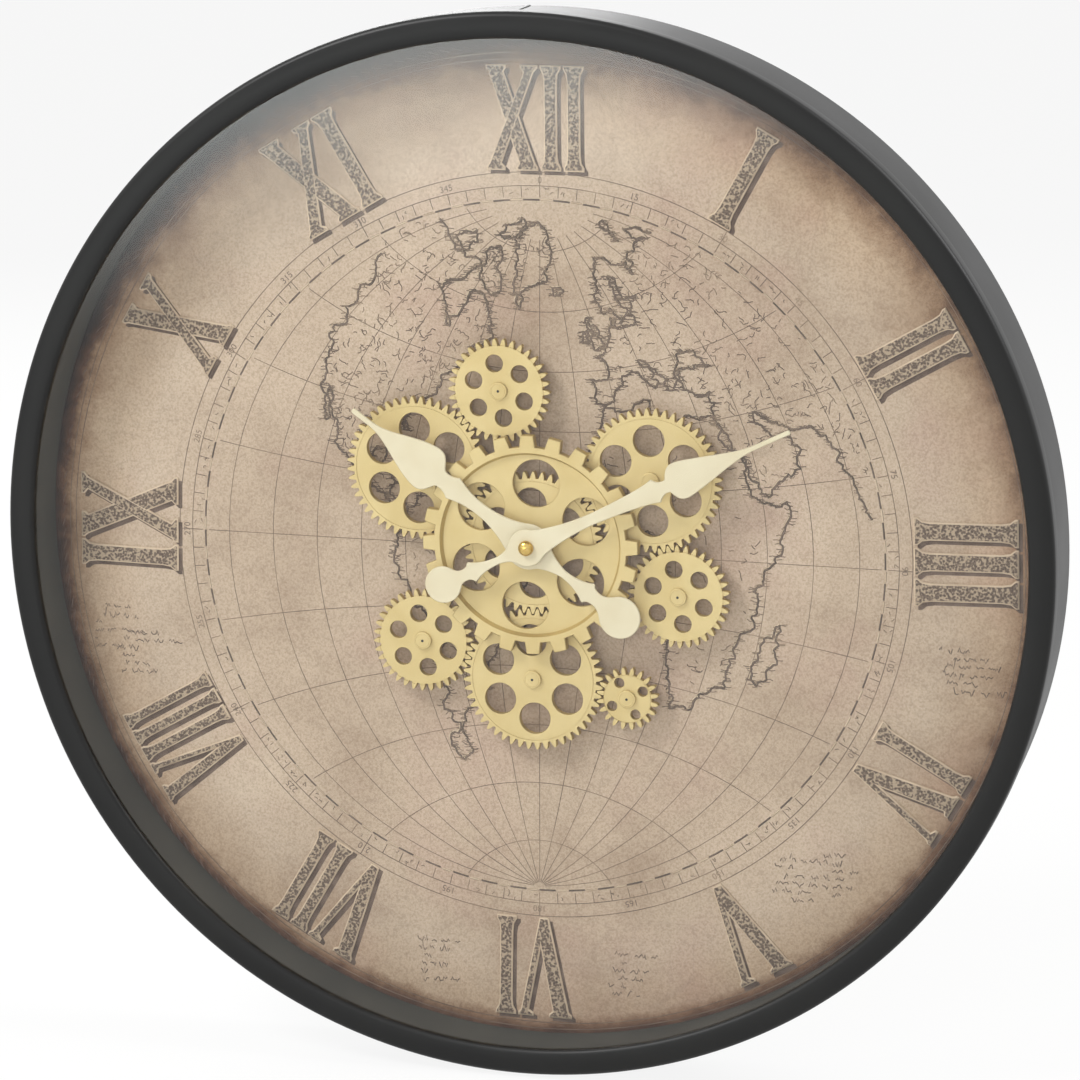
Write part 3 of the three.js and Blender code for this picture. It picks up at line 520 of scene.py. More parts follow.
pane = {"radius": 293.2, "rear": 59, "front": 62, "edge": 0.6, "steps": 160}
paneFlat = pane["radius"] - pane["edge"]
paneProfile = [(0, pane["rear"]), (paneFlat, pane["rear"]), (pane["radius"], pane["rear"] + pane["edge"]),
               (pane["radius"], pane["front"] - pane["edge"]), (paneFlat, pane["front"]), (0, pane["front"])]
glassPane = turnPiece("glass_pane", paneProfile, pane["steps"])
fitPiece(glassPane, "case", ["glass"], ["glass_lens"])
print("case built")


# Gear places come from the frame's own joints, so the teeth stay in mesh.
axes = {joint["child"]: joint["pos_m"] for joint in frame["joints"] if joint["type"] == "hinge"}


def axisOf(body):
    x, _, z = axes[body]
    return x / mm, z / mm


# Dial: the paper on its board, pierced for the posts, the drive shaft and the hand bush. The print sits off centre.
dial = {"radius": 291, "rear": 24.3, "face": 24.7, "bushHole": 4.4, "bushSides": 32, "postHole": 2.35, "shaftHole": 3.4,
        "postSides": 24, "flare": 0.01, "steps": 224, "printRight": 1.0, "printUp": -5.8}
paperProfile = [(0, dial["rear"]), (dial["radius"], dial["rear"]), (dial["radius"], dial["face"]), (0, dial["face"])]
paperDisc = turnPiece("dial_paper", paperProfile, dial["steps"])
holes = [(dial["bushHole"], (0, 0), dial["bushSides"])]
for body in axes:
    if "gear" in body:
        holes.append((dial["shaftHole" if body == "large_gear_lower" else "postHole"], axisOf(body), dial["postSides"]))
carve(paperDisc, [makeDrill(radius, center, dial["rear"] - toolPast, dial["face"] + toolPast, dial["flare"], sides)
                  for radius, center, sides in holes])
fitPiece(paperDisc, "case", ["paper"], ["dial_print"])
print("dial paper built")


# Ink on the dial: thin flat strips a hair above the paper, each piece with its line width, lift and ink
inkHeight = 0.03
inks = {
    # the pale line beside the shores is a painted highlight
    "chart_shores_painted_highlight": {"width": 0.9, "lift": 0.04, "look": "relief"},
    "chart_shores": {"width": 1.15, "lift": 0.08, "look": "ink"},
    "chart_grid": {"width": 0.34, "lift": 0.05, "look": "fineInk"},
    "chart_strokes": {"width": 0.45, "lift": 0.09, "look": "fineInk"},
    "dial_scribble": {"width": 0.5, "lift": 0.09, "look": "ink"},
    "dial_scale_fine": {"width": 0.4, "lift": 0.06, "look": "fineInk"},
    "dial_scale_dashes": {"width": 0.95, "lift": 0.1, "look": "ink"},
    "dial_scale_pale": {"width": 1.1, "lift": 0.1, "look": "relief"},
    "dial_rope": {"width": 0.5, "lift": 0.08, "look": "shade"},
}


def inkPiece(name, lines):
    ink = inks[name]
    curve = bpy.data.curves.new(name, "CURVE")
    curve.dimensions = "3D"
    curve.bevel_depth = ink["width"] / 2 * mm
    curve.bevel_resolution = 0
    for line in lines:
        spline = curve.splines.new("POLY")
        spline.points.add(len(line) - 1)
        for point, (x, z) in zip(spline.points, line):
            point.co = (x * mm, z * mm, 0, 1)
    piece = bpy.data.objects.new(name, curve)
    bpy.context.scene.collection.objects.link(piece)
    pick(piece)
    bpy.ops.object.convert(target="MESH")
    piece = bpy.context.object
    flatten = inkHeight * mm / (ink["width"] / 2 * mm)
    height = dial["face"] + ink["lift"]
    piece.data.transform(Matrix(((1, 0, 0, dial["printRight"] * mm), (0, 0, -flatten, -height * mm),
                                 (0, 1, 0, dial["printUp"] * mm), (0, 0, 0, 1))))
    return fitPiece(piece, "case", [ink["look"]], angle=180)


# Coasts as rough corners in (longitude, latitude)
chart = {"radius": 195.2, "middle": -32, "halfSpan": 112, "top": 87, "gridStep": 15, "gridSide": 105, "gridFoot": -75,
         "gridEnd": 80, "lineFoot": -86, "lineStep": 4, "arcHalf": 24, "rough": 0.16, "finest": 1.1, "seed": 11,
         "highest": 0.995, "onAxis": 0.002}
coasts = {
    "africa": [
        (-6, 36), (10, 37), (11, 33), (20, 31), (25, 32), (33, 31), (35, 28), (37, 22), (39, 16), (43, 12), (51, 12),
        (48, 5), (42, -2), (39, -6), (40, -12), (36, -18), (35, -24), (32, -28), (27, -34), (20, -35), (17, -30),
        (14, -22), (12, -16), (13, -9), (9, -2), (9, 4), (4, 6), (-4, 5), (-8, 4), (-13, 9), (-17, 14), (-16, 20),
        (-13, 27), (-9, 31)],
    "eurasia": [
        (-9, 37), (-9, 43), (-2, 43), (-1, 46), (-5, 48), (2, 51), (5, 53), (8, 55), (9, 57), (11, 56), (10, 54),
        (14, 54), (19, 54), (21, 57), (24, 59), (30, 60), (23, 60), (22, 63), (25, 65), (21, 66), (17, 61), (18, 60),
        (16, 56), (13, 55), (11, 59), (7, 58), (5, 61), (10, 64), (15, 68), (22, 71), (30, 70), (41, 67), (38, 64),
        (44, 66), (46, 68), (54, 68), (60, 69), (68, 68), (67, 72), (73, 71), (75, 68), (80, 73), (90, 75), (100, 77),
        (110, 76), (113, 73), (128, 73), (138, 72), (146, 71), (147, 60), (141, 59), (137, 54), (141, 52), (135, 44),
        (129, 42), (128, 38), (129, 35), (126, 35), (125, 39), (121, 40), (118, 39), (122, 37), (119, 35), (122, 31),
        (119, 25), (113, 22), (109, 21), (106, 19), (109, 13), (105, 9), (100, 13), (102, 6), (104, 2), (101, 3),
        (98, 8), (98, 15), (94, 17), (91, 22), (87, 21), (80, 15), (78, 8), (74, 14), (72, 20), (67, 24), (61, 25),
        (57, 26), (52, 28), (48, 30), (50, 26), (52, 24), (56, 25), (59, 22), (55, 17), (45, 13), (43, 14), (39, 21),
        (35, 28), (34, 31), (36, 36), (30, 36), (27, 38), (27, 41), (35, 42), (41, 41), (38, 45), (33, 46), (28, 43),
        (26, 40), (23, 38), (21, 38), (19, 42), (13, 46), (18, 40), (16, 39), (12, 42), (9, 44), (4, 43), (0, 40),
        (-2, 37), (-6, 36)],
    "northAmerica": [
        (-168, 66), (-162, 64), (-165, 61), (-158, 58), (-152, 59), (-146, 61), (-135, 58), (-128, 51), (-124, 47),
        (-124, 40), (-118, 34), (-112, 27), (-110, 24), (-114, 31), (-109, 26), (-105, 20), (-97, 16), (-92, 14),
        (-86, 11), (-82, 8), (-78, 8), (-77, 9), (-83, 12), (-83, 15), (-88, 16), (-87, 21), (-90, 21), (-95, 18),
        (-97, 22), (-97, 27), (-90, 29), (-84, 30), (-82, 26), (-80, 26), (-81, 31), (-76, 35), (-74, 40), (-70, 42),
        (-66, 45), (-61, 46), (-65, 49), (-60, 50), (-56, 52), (-60, 56), (-65, 60), (-70, 62), (-77, 62), (-77, 57),
        (-79, 52), (-82, 53), (-88, 57), (-94, 59), (-94, 62), (-87, 65), (-82, 68), (-90, 69), (-96, 68), (-108, 68),
        (-118, 69), (-128, 70), (-140, 70), (-156, 71), (-166, 68)],
    "southAmerica": [
        (-77, 8), (-72, 12), (-62, 10), (-52, 5), (-50, 0), (-44, -3), (-35, -6), (-38, -13), (-41, -22), (-48, -26),
        (-54, -34), (-58, -38), (-65, -42), (-67, -48), (-69, -52), (-72, -53), (-75, -48), (-73, -40), (-71, -30),
        (-70, -20), (-76, -14), (-81, -5), (-80, 0), (-77, 5)],
    "greenland": [(-45, 60), (-53, 66), (-58, 75), (-70, 77), (-60, 81), (-32, 82), (-18, 80), (-20, 73), (-26, 69),
                  (-38, 66)],
    "baffin": [(-65, 62), (-78, 65), (-88, 71), (-80, 74), (-70, 70), (-62, 66)],
    "northIsles": [(-117, 70), (-105, 69), (-100, 72), (-112, 74)],
    "ellesmere": [(-90, 76), (-79, 77), (-66, 81), (-88, 82), (-95, 79)],
    "madagascar": [(49, -12), (50, -16), (47, -25), (44, -23), (44, -17)],
    "britain": [(-5, 50), (1, 51), (0, 54), (-3, 58), (-6, 57), (-3, 54), (-5, 52)],
    "ireland": [(-10, 52), (-6, 52), (-6, 55), (-9, 54)],
    "iceland": [(-22, 64), (-14, 65), (-16, 66), (-22, 66)],
    "cuba": [(-85, 22), (-78, 22), (-74, 20), (-78, 20)],
    "novaya": [(52, 71), (58, 74), (67, 76), (60, 76), (54, 73)],
}
luck = random.Random(chart["seed"])


# The whole world inside one disc: meridians and parallels are arcs that share out the rim and both axes evenly.
def chartPoint(longitude, latitude):
    side = max(-1, min(1, (longitude - chart["middle"]) / chart["halfSpan"]))
    up = min(abs(latitude) / chart["top"], chart["highest"])
    across, rise = abs(side), math.sin(math.radians(90 * up))
    if across < chart["onAxis"]:
        return 0, math.copysign(chart["radius"] * up, latitude)
    if up < chart["onAxis"]:
        return side * chart["radius"], 0
    meridian = (across * across - 1) / (2 * across)
    parallel = (1 - up * up) / (2 * (rise - up))
    span = math.hypot(meridian, parallel)
    along = ((across - meridian) ** 2 - (parallel - up) ** 2 + span * span) / (2 * span)
    off = math.sqrt(max(0, (across - meridian) ** 2 - along * along))
    x = meridian - along * meridian / span + off * parallel / span
    z = along * parallel / span + off * meridian / span
    return math.copysign(chart["radius"] * x, side), math.copysign(chart["radius"] * z, latitude)


# Breaks each stretch of a coast in two, four times over, so that it runs ragged.
def roughen(points, times=4):
    for _ in range(times):
        longer = []
        for (x, z), (nextX, nextZ) in zip(points, points[1:]):
            gap = math.hypot(nextX - x, nextZ - z)
            longer.append((x, z))
            if gap > chart["finest"]:
                shove = luck.gauss(0, chart["rough"])
                longer.append(((x + nextX) / 2 - (nextZ - z) * shove, (z + nextZ) / 2 + (nextX - x) * shove))
        points = longer + [points[-1]]
    return points


def inside(point, loop):
    x, z = point
    odd = False
    for (ax, az), (bx, bz) in zip(loop, loop[1:] + loop[:1]):
        if (az > z) != (bz > z) and x < (bx - ax) * (z - az) / (bz - az) + ax:
            odd = not odd
    return odd


# A stroke that wanders: sketch marks on the land and round the scale
def wander(start, heading, step, count, sway):
    points = [start]
    for _ in range(count):
        heading += luck.gauss(0, sway)
        x, z = points[-1]
        points.append((x + step * math.cos(heading), z + step * math.sin(heading)))
    return points


shoreLines = []
for corners in coasts.values():
    run = []
    for corner in corners + corners[:1]:
        if abs(corner[0] - chart["middle"]) < chart["halfSpan"]:
            run.append(chartPoint(*corner))
        else:
            shoreLines.append(run)
            run = []
    shoreLines.append(run)
shoreLines = [roughen(line) for line in shoreLines if len(line) > 2]

# Sketch marks: how many on each land, and how they run
land = {"africa": 60, "eurasia": 260, "northAmerica": 260, "southAmerica": 60, "greenland": 26, "baffin": 20}
landMark = {"step": (0.6, 1.1), "count": (3, 8), "sway": 0.6}
strokes = []
for name, count in land.items():
    shore = [chartPoint(*corner) for corner in coasts[name]]
    lowX, highX = min(x for x, _ in shore), max(x for x, _ in shore)
    lowZ, highZ = min(z for _, z in shore), max(z for _, z in shore)
    while count:
        start = (luck.uniform(lowX, highX), luck.uniform(lowZ, highZ))
        if inside(start, shore):
            heading, step = luck.uniform(0, math.tau), luck.uniform(*landMark["step"])
            stroke = wander(start, heading, step, luck.randint(*landMark["count"]), landMark["sway"])
            strokes.append([point for point in stroke if inside(point, shore)])
            count -= 1
strokes = [stroke for stroke in strokes if len(stroke) > 2]

# Short lines off every shore, level with the page, as on an engraved chart
hatch = {"share": 0.85, "shortest": 1.4, "longest": 4.6, "slope": 0.3}
for line in shoreLines:
    for x, z in line:
        if luck.random() < hatch["share"]:
            reach = luck.choice((-1, 1)) * luck.uniform(hatch["shortest"], hatch["longest"])
            strokes.append([(x, z), (x + reach / 2, z + luck.gauss(0, hatch["slope"])),
                            (x + reach, z + luck.gauss(0, hatch["slope"]))])

grid = []
for longitude in range(-chart["gridSide"], chart["gridSide"] + 1, chart["gridStep"]):
    latitudes = range(chart["lineFoot"], chart["gridEnd"], chart["lineStep"])
    grid.append([chartPoint(chart["middle"] + longitude, latitude) for latitude in latitudes])
for latitude in range(chart["gridFoot"], chart["gridEnd"], chart["gridStep"]):
    grid.append([chartPoint(chart["middle"] + chart["halfSpan"] * i / chart["arcHalf"], latitude)
                 for i in range(-chart["arcHalf"], chart["arcHalf"] + 1)])

# Blocks of faint scribble between the numerals, at (degrees, radius): rows of random waves
scribble = {"places": [(198, 247), (194, 257), (257, 252), (283, 252), (315, 252), (310, 238), (347, 252)], "rows": 6,
            "lead": 4.6, "half": 13, "ragged": 3, "words": 4, "wave": 1.0, "length": (4, 11), "step": (0.4, 1.0),
            "space": (1.0, 3.5)}
scribbles = []
for degrees, radius in scribble["places"]:
    middleX, middleZ = around(radius, degrees)
    for row in range(scribble["rows"]):
        x = middleX - scribble["half"] + luck.gauss(0, scribble["ragged"])
        z = middleZ + (scribble["rows"] / 2 - row) * scribble["lead"]
        for _ in range(luck.randint(1, scribble["words"])):
            word = []
            for _ in range(luck.randint(*scribble["length"])):
                word.append((x, z + luck.gauss(0, scribble["wave"])))
                x += luck.uniform(*scribble["step"])
            scribbles.append(word)
            x += luck.uniform(*scribble["space"])

highlightShift = 0.75  # painted highlight: a pale copy of each shore line, up and to the left of the dark one, towards the key lamp
inkPiece("chart_shores_painted_highlight", [[(x - highlightShift, z + highlightShift) for x, z in line] for line in shoreLines])
inkPiece("chart_shores", shoreLines)
inkPiece("chart_grid", grid)
inkPiece("chart_strokes", strokes)
inkPiece("dial_scribble", scribbles)


def ringLine(radius, start=0, end=360, steps=180):
    return arcPoints((0, 0), radius, start, end, steps)


# Scale round the chart: rings, ticks, sketch marks between them and dashes; dashes are shares of their spacing
scale = {"inner": 197.3, "boxInner": 198.9, "boxOuter": 205.1, "outer": 212.7, "rings": (275.5, 279), "ticks": 120,
         "longTick": 10, "dashes": 72, "dash": (0, 0.55), "pale": (0.6, 0.95), "paleOut": 0.2}
scaleMark = {"counts": (0, 0, 1, 2, 3), "inner": 1, "outer": 1.5, "spread": (0.4, 2.2), "step": 0.8, "count": 3,
             "sway": 0.8}
fineRings = [ringLine(radius) for radius in (scale["outer"], scale["boxOuter"], *scale["rings"])]
for i in range(scale["ticks"]):
    degrees = 360 * i / scale["ticks"]
    reach = scale["boxOuter"] if i % scale["longTick"] else scale["outer"]
    fineRings.append([around(scale["boxInner"], degrees), around(reach, degrees)])
    for _ in range(luck.choice(scaleMark["counts"])):
        radius = luck.uniform(scale["boxInner"] + scaleMark["inner"], scale["boxOuter"] - scaleMark["outer"])
        start = around(radius, degrees + luck.uniform(*scaleMark["spread"]))
        heading = luck.uniform(0, math.tau)
        fineRings.append(wander(start, heading, scaleMark["step"], scaleMark["count"], scaleMark["sway"]))


def dashRing(radius, span, steps):
    ends = [[360 * (i + share) / scale["dashes"] for share in span] for i in range(scale["dashes"])]
    return [ringLine(radius, start, end, steps) for start, end in ends]


inkPiece("dial_scale_fine", fineRings)
inkPiece("dial_scale_dashes", dashRing(scale["inner"], scale["dash"], 4))
inkPiece("dial_scale_pale", dashRing(scale["inner"] + scale["paleOut"], scale["pale"], 3))

figures = {"radius": 206.6, "size": 5.2, "step": 15, "height": 0.02, "lift": 0.05}
figurePieces = []
for degrees in range(0, 360, figures["step"]):
    bpy.ops.object.select_all(action="DESELECT")
    bpy.ops.object.text_add()
    figure = bpy.context.object
    figure.data.body = str(degrees)
    figure.data.size = figures["size"] * mm
    figure.data.align_x = "CENTER"
    figure.data.extrude = figures["height"] * mm
    bpy.ops.object.convert(target="MESH")
    figure = bpy.context.object
    figure.data.transform(Matrix.Translation((0, figures["radius"] * mm, 0)))
    figure.data.transform(Matrix.Rotation(math.radians(degrees), 4, "Y") @ Matrix.Rotation(math.radians(90), 4, "X"))
    figurePieces.append(figure)
scaleFigures = joinPieces(figurePieces, "dial_scale_figures")
figuresPlace = (dial["printRight"] * mm, -(dial["face"] + figures["lift"]) * mm, dial["printUp"] * mm)
scaleFigures.data.transform(Matrix.Translation(figuresPlace))
fitPiece(scaleFigures, "case", ["fineInk"], angle=30)

rope = {"radius": 282.8, "half": 0.9, "turns": 260, "slant": 0.5}
ropeMarks = []
for i in range(rope["turns"]):
    degrees = 360 * i / rope["turns"]
    ropeMarks.append([around(rope["radius"] - rope["half"], degrees - rope["slant"]),
                      around(rope["radius"] + rope["half"], degrees + rope["slant"])])
inkPiece("dial_rope", ropeMarks)
print("chart drawn")


# Numerals: letters of plain strokes, in (across, up) points; a crossing stroke lies over the one before
numeral = {"step": 30, "base": 213.4, "height": 1.055, "side": 0.7, "bevel": 0.8, "bevelRise": 0.7, "gap": 1.4,
           "lift": 0.02, "crossing": 0.25, "shade": 2.1, "shadeSide": 0.05, "shadeCrossing": 0.005, "topShare": 0.5,
           "topNormal": 0.9}
letters = {
    "I": {"width": 12.4, "strokes": [
        [(0, 0), (12.4, 0), (12.4, 2), (10.7, 4.6), (10.2, 9), (10.2, 46.5), (10.7, 50.9), (12.4, 53.5), (12.4, 55.5),
         (0, 55.5), (0, 53.5), (1.7, 50.9), (2.2, 46.5), (2.2, 9), (1.7, 4.6), (0, 2)]]},
    "V": {"width": 33, "strokes": [
        [(0, 55.5), (14, 55.5), (14, 53.6), (11.8, 52), (19.6, 17), (26.4, 52), (23.6, 53.6), (23.6, 55.5), (33, 55.5),
         (33, 53.6), (31.4, 52), (20.6, 0), (15, 0), (1.8, 52), (0, 53.6)]]},
    "X": {"width": 31, "strokes": [
        [(0, 55.5), (12, 55.5), (12, 53.6), (10.8, 51.6), (29.4, 3.8), (31, 2), (31, 0), (18, 0), (18, 2), (19.6, 3.8),
         (1.4, 51.6), (0, 53.6)],
        [(20.6, 55.5), (31, 55.5), (31, 53.6), (28.8, 51.6), (9.2, 3.8), (11.4, 2), (11.4, 0), (0, 0), (0, 2),
         (1.8, 3.8), (22.6, 51.6), (20.6, 53.6)]]},
}
# Each hour's numeral, with its width and how many degrees it stands off its hour
hours = {"XII": (0.95, -0.6), "I": (1.15, -1.6), "II": (1.05, 0), "III": (1.27, -1.6), "IV": (1.0, -0.4),
         "V": (1.03, 0.7), "VI": (0.96, 0.7), "VII": (0.9, 0.1), "VIII": (0.75, -0.2), "IX": (1.22, 0.6),
         "X": (1.08, -0.9), "XI": (1.12, -1.5)}


def numeralStroke(points, left, degrees, lift):
    outX, outZ = math.sin(math.radians(degrees)), math.cos(math.radians(degrees))
    loop = []
    for across, up in points:
        reach = numeral["base"] + up * numeral["height"]
        x, z = reach * outX + (left + across) * outZ, reach * outZ - (left + across) * outX
        loop.append((x + dial["printRight"], -(dial["face"] + numeral["lift"] + lift), z + dial["printUp"]))
    return addLoop("numeral_stroke", loop, "NGON")


strokePieces, shadePieces = [], []
for hour, (word, (width, off)) in enumerate(hours.items()):
    left = -(sum(letters[letter]["width"] * width for letter in word) + numeral["gap"] * (len(word) - 1)) / 2
    for letter in word:
        for order, points in enumerate(letters[letter]["strokes"]):
            stretched = [(across * width, up) for across, up in points]
            degrees = numeral["step"] * hour + off
            strokePieces.append(numeralStroke(stretched, left, degrees, numeral["crossing"] * order))
            shadePieces.append(numeralStroke(stretched, left, degrees, numeral["shadeCrossing"] * order))
        left += letters[letter]["width"] * width + numeral["gap"]
numerals = joinPieces(strokePieces, "dial_numerals")
startEdit()
raiseFaces(numeral["side"], numeral["bevel"], numeral["bevel"] * numeral["bevelRise"])
endEdit()
# A dark flat copy of every numeral, shifted down and to the right away from the key lamp: a painted drop shadow
shade = joinPieces(shadePieces, "dial_numeral_shade")
shade.data.transform(Matrix.Translation((numeral["shade"] * mm, 0, -numeral["shade"] * mm)))
startEdit()
raiseFaces(numeral["shadeSide"])
endEdit()
fitPiece(shade, "case", ["shade"])
topFace = -(dial["face"] + numeral["side"] + numeral["topShare"] * numeral["bevel"]) * mm


def numeralTop(face):
    return 1 if face.normal.y < -numeral["topNormal"] and face.center.y < topFace else 0


fitPiece(numerals, "case", ["relief", "hammered"], angle=20, choose=numeralTop)
print("numerals set")


# Gears: bullet teeth, round windows and an engraved line under the teeth
gearSet = {"module": 1.625, "pressure": 20, "play": 0.36, "rear": 31.2, "front": 35.2, "edge": 0.12, "bore": 2.3,
           "sideNormal": 0.6, "boreFlare": 0.2, "boreSides": 24, "flare": 0.14, "lineWidth": 0.5, "lineDepth": 0.35,
           "lineSteps": 96}
windowTrim = 0.15  # a window's drill is this much smaller, to leave room for its chamfer
gearKinds = {
    48: {"windows": 6, "ring": 22.5, "radius": 9.2, "angle": 33, "line": 35.1, "sides": 48},
    34: {"windows": 6, "ring": 15.5, "radius": 5.2, "angle": 40, "line": 25.8, "sides": 36},
    20: {"windows": 4, "ring": 10.0, "radius": 3.1, "angle": 28, "line": 13.58, "sides": 28},
}
# A flank as (modules up, share of the full tooth)
flank = [(-1.45, 1.06), (-0.9, 1.0), (0, 1.0), (0.45, 1.0), (0.78, 0.9), (0.97, 0.6)]


def toothHalf(teeth, radius):
    pitch = gearSet["module"] * teeth / 2
    base = pitch * math.cos(math.radians(gearSet["pressure"]))

    def involute(at):
        pressure = math.acos(min(1, base / at))
        return math.tan(pressure) - pressure
    half = (math.pi * gearSet["module"] / 2 - gearSet["play"]) / 2 / pitch
    return math.degrees(half + involute(pitch) - involute(radius))


def gearOutline(teeth, phase):
    radii = [(gearSet["module"] * teeth / 2 + height * gearSet["module"], share) for height, share in flank]
    half = [(radius, toothHalf(teeth, radius) * share) for radius, share in radii]
    points = []
    for i in range(teeth):
        middle = phase + 360 * i / teeth
        points += [around(radius, middle - spread) for radius, spread in half]
        points += [around(radius, middle + spread) for radius, spread in reversed(half)]
    return points


def meshPhase(driver, direction, teeth):
    share = (direction - driver["phase"]) * driver["teeth"] / 360
    return direction + 180 - (0.5 - share) * 360 / teeth


# A drill for each window of a wheel
def windowDrills(wheel, rear, front, flare):
    centers = [around(wheel["ring"], wheel["angle"] + 360 * i / wheel["windows"]) for i in range(wheel["windows"])]
    return [makeDrill(wheel["radius"] - windowTrim, center, rear, front, flare, wheel["sides"]) for center in centers]


def buildGear(name, teeth, phase, center, bore):
    kind, rear, front = gearKinds[teeth], gearSet["rear"], gearSet["front"]
    gear = cutPlate(name, gearOutline(teeth, phase), rear, front, gearSet["edge"])
    tools = [makeDrill(bore, (0, 0), rear - toolPast, front, gearSet["boreFlare"], gearSet["boreSides"])]
    tools += windowDrills(kind, rear - toolPast, front, gearSet["flare"])
    deep, half = front - gearSet["lineDepth"], gearSet["lineWidth"] / 2
    inner, outer = kind["line"] - half, kind["line"] + half
    graver = [(inner, deep), (outer, deep), (outer, front + toolPast), (inner, front + toolPast)]
    tools.append(turnPiece("graver", graver, gearSet["lineSteps"]))
    carve(gear, tools)
    movePiece(gear, center)
    return gear


# Side walls take the darker gold, in part painted shade
def goldSides(face):
    return 1 if abs(face.normal.y) < gearSet["sideNormal"] else 0


train = {"center_gear": {"teeth": 48, "phase": 0.0, "body": "center_wheel", "center": (0.0, 0.0), "bore": 6.8}}
drives = [("large_gear_right", 48, "center_gear"), ("large_gear_left", 48, "center_gear"),
          ("large_gear_lower", 48, "center_gear"), ("middle_gear_right", 34, "large_gear_right"),
          ("middle_gear_top", 34, "large_gear_left"), ("middle_gear_left", 34, "large_gear_lower"),
          ("small_gear", 20, "large_gear_lower")]
for name, teeth, driverName in drives:
    driver = train[driverName]
    center = axisOf(name)
    direction = math.degrees(math.atan2(center[1] - driver["center"][1], center[0] - driver["center"][0]))
    train[name] = {"teeth": teeth, "phase": meshPhase(driver, direction, teeth), "body": name, "center": center,
                   "bore": gearSet["bore"]}
for name, gear in train.items():
    piece = buildGear(name + "_cut", gear["teeth"], gear["phase"], gear["center"], gear["bore"])
    fitPiece(piece, gear["body"], ["gold", "goldSideShaded"], [name], choose=goldSides)
print("gears cut")

hubCap = {"radius": 5, "rear": 35.5, "front": 37.1, "seat": 2.3, "seatFront": 36.4, "round": 0.5, "dot": 0.75,
          "dotDepth": 0.55, "dotReach": 0.765, "dotClear": 0.01, "groove": 4.1, "grooveHalf": 0.15, "grooveDepth": 0.2,
          "steps": 48}
capFront, groove, grooveHalf = hubCap["front"], hubCap["groove"], hubCap["grooveHalf"]
dotDeep = capFront - hubCap["dotDepth"]
capProfile = [(0, hubCap["seatFront"]), (hubCap["seat"], hubCap["seatFront"]), (hubCap["seat"], hubCap["rear"]),
              (hubCap["radius"], hubCap["rear"])]
capProfile += arcPoints((hubCap["radius"] - hubCap["round"], capFront - hubCap["round"]), hubCap["round"], 0, 90, 4)
capProfile += [(groove, capFront), (groove - grooveHalf, capFront - hubCap["grooveDepth"]),
               (groove - 2 * grooveHalf, capFront), (hubCap["dot"], capFront), (hubCap["dot"], dotDeep), (0, dotDeep)]
firstCap = turnPiece("hub_cap_turned", capProfile, hubCap["steps"])


def dotFloor(face):
    middle = math.hypot(face.center.x, face.center.z) < hubCap["dotReach"] * mm
    return 1 if middle and face.center.y < -(hubCap["seatFront"] + hubCap["dotClear"]) * mm else 0


for name in list(train)[1:]:
    node = name.replace("gear", "hub_cap")
    cap = copyPiece(firstCap, node + "_turned")
    body = name if name == "large_gear_lower" else "case"
    fitPiece(cap, body, ["gold", "abs"], [node], choose=dotFloor)
    movePiece(cap, train[name]["center"])
bpy.data.objects.remove(firstCap)

frontWheel = {"teeth": 24, "tip": 62, "root": 55.5, "tipWidth": 7.2, "rootWidth": 9, "phase": 1.7, "rear": 36.6,
              "front": 42, "edge": 0.4, "recess": 2.6, "recessRadius": 52.3, "recessSlope": 1.5, "recessSteps": 160,
              "windows": 6, "ring": 35, "radius": 13.7, "angle": 25, "sides": 64, "flare": 0.3, "bore": 6.8,
              "boreFlare": 0.2, "boreSides": 36, "tipSteps": 2, "rootSteps": 3}


def wheelOutline():
    points = []
    tipHalf = math.degrees(frontWheel["tipWidth"] / 2 / frontWheel["tip"])
    rootHalf = math.degrees(frontWheel["rootWidth"] / 2 / frontWheel["root"])
    pitch = 360 / frontWheel["teeth"]
    for i in range(frontWheel["teeth"]):
        middle = frontWheel["phase"] + pitch * i
        points += ringLine(frontWheel["tip"], middle - tipHalf, middle + tipHalf, frontWheel["tipSteps"])
        points += ringLine(frontWheel["root"], middle + rootHalf, middle + pitch - rootHalf, frontWheel["rootSteps"])
    return points


wheelRear, wheelFront, recessOuter = frontWheel["rear"], frontWheel["front"], frontWheel["recessRadius"]
wheel = cutPlate("front_wheel_cut", wheelOutline(), wheelRear, wheelFront, frontWheel["edge"])
recessFloor, recessInner = wheelFront - frontWheel["recess"], recessOuter - frontWheel["recessSlope"]
sunk = [(0, recessFloor), (recessInner, recessFloor), (recessOuter, wheelFront),
        (recessOuter + toolPast, wheelFront + 2 * toolPast), (0, wheelFront + 2 * toolPast)]
carve(wheel, [turnPiece("facing", sunk, frontWheel["recessSteps"])])
wheelBore = makeDrill(frontWheel["bore"], (0, 0), wheelRear - toolPast, recessFloor, frontWheel["boreFlare"],
                      frontWheel["boreSides"])
carve(wheel, [wheelBore] + windowDrills(frontWheel, wheelRear - toolPast, recessFloor, frontWheel["flare"]))
fitPiece(wheel, "center_wheel", ["gold", "goldSideShaded"], ["front_wheel"], choose=goldSides)
print("front wheel cut")


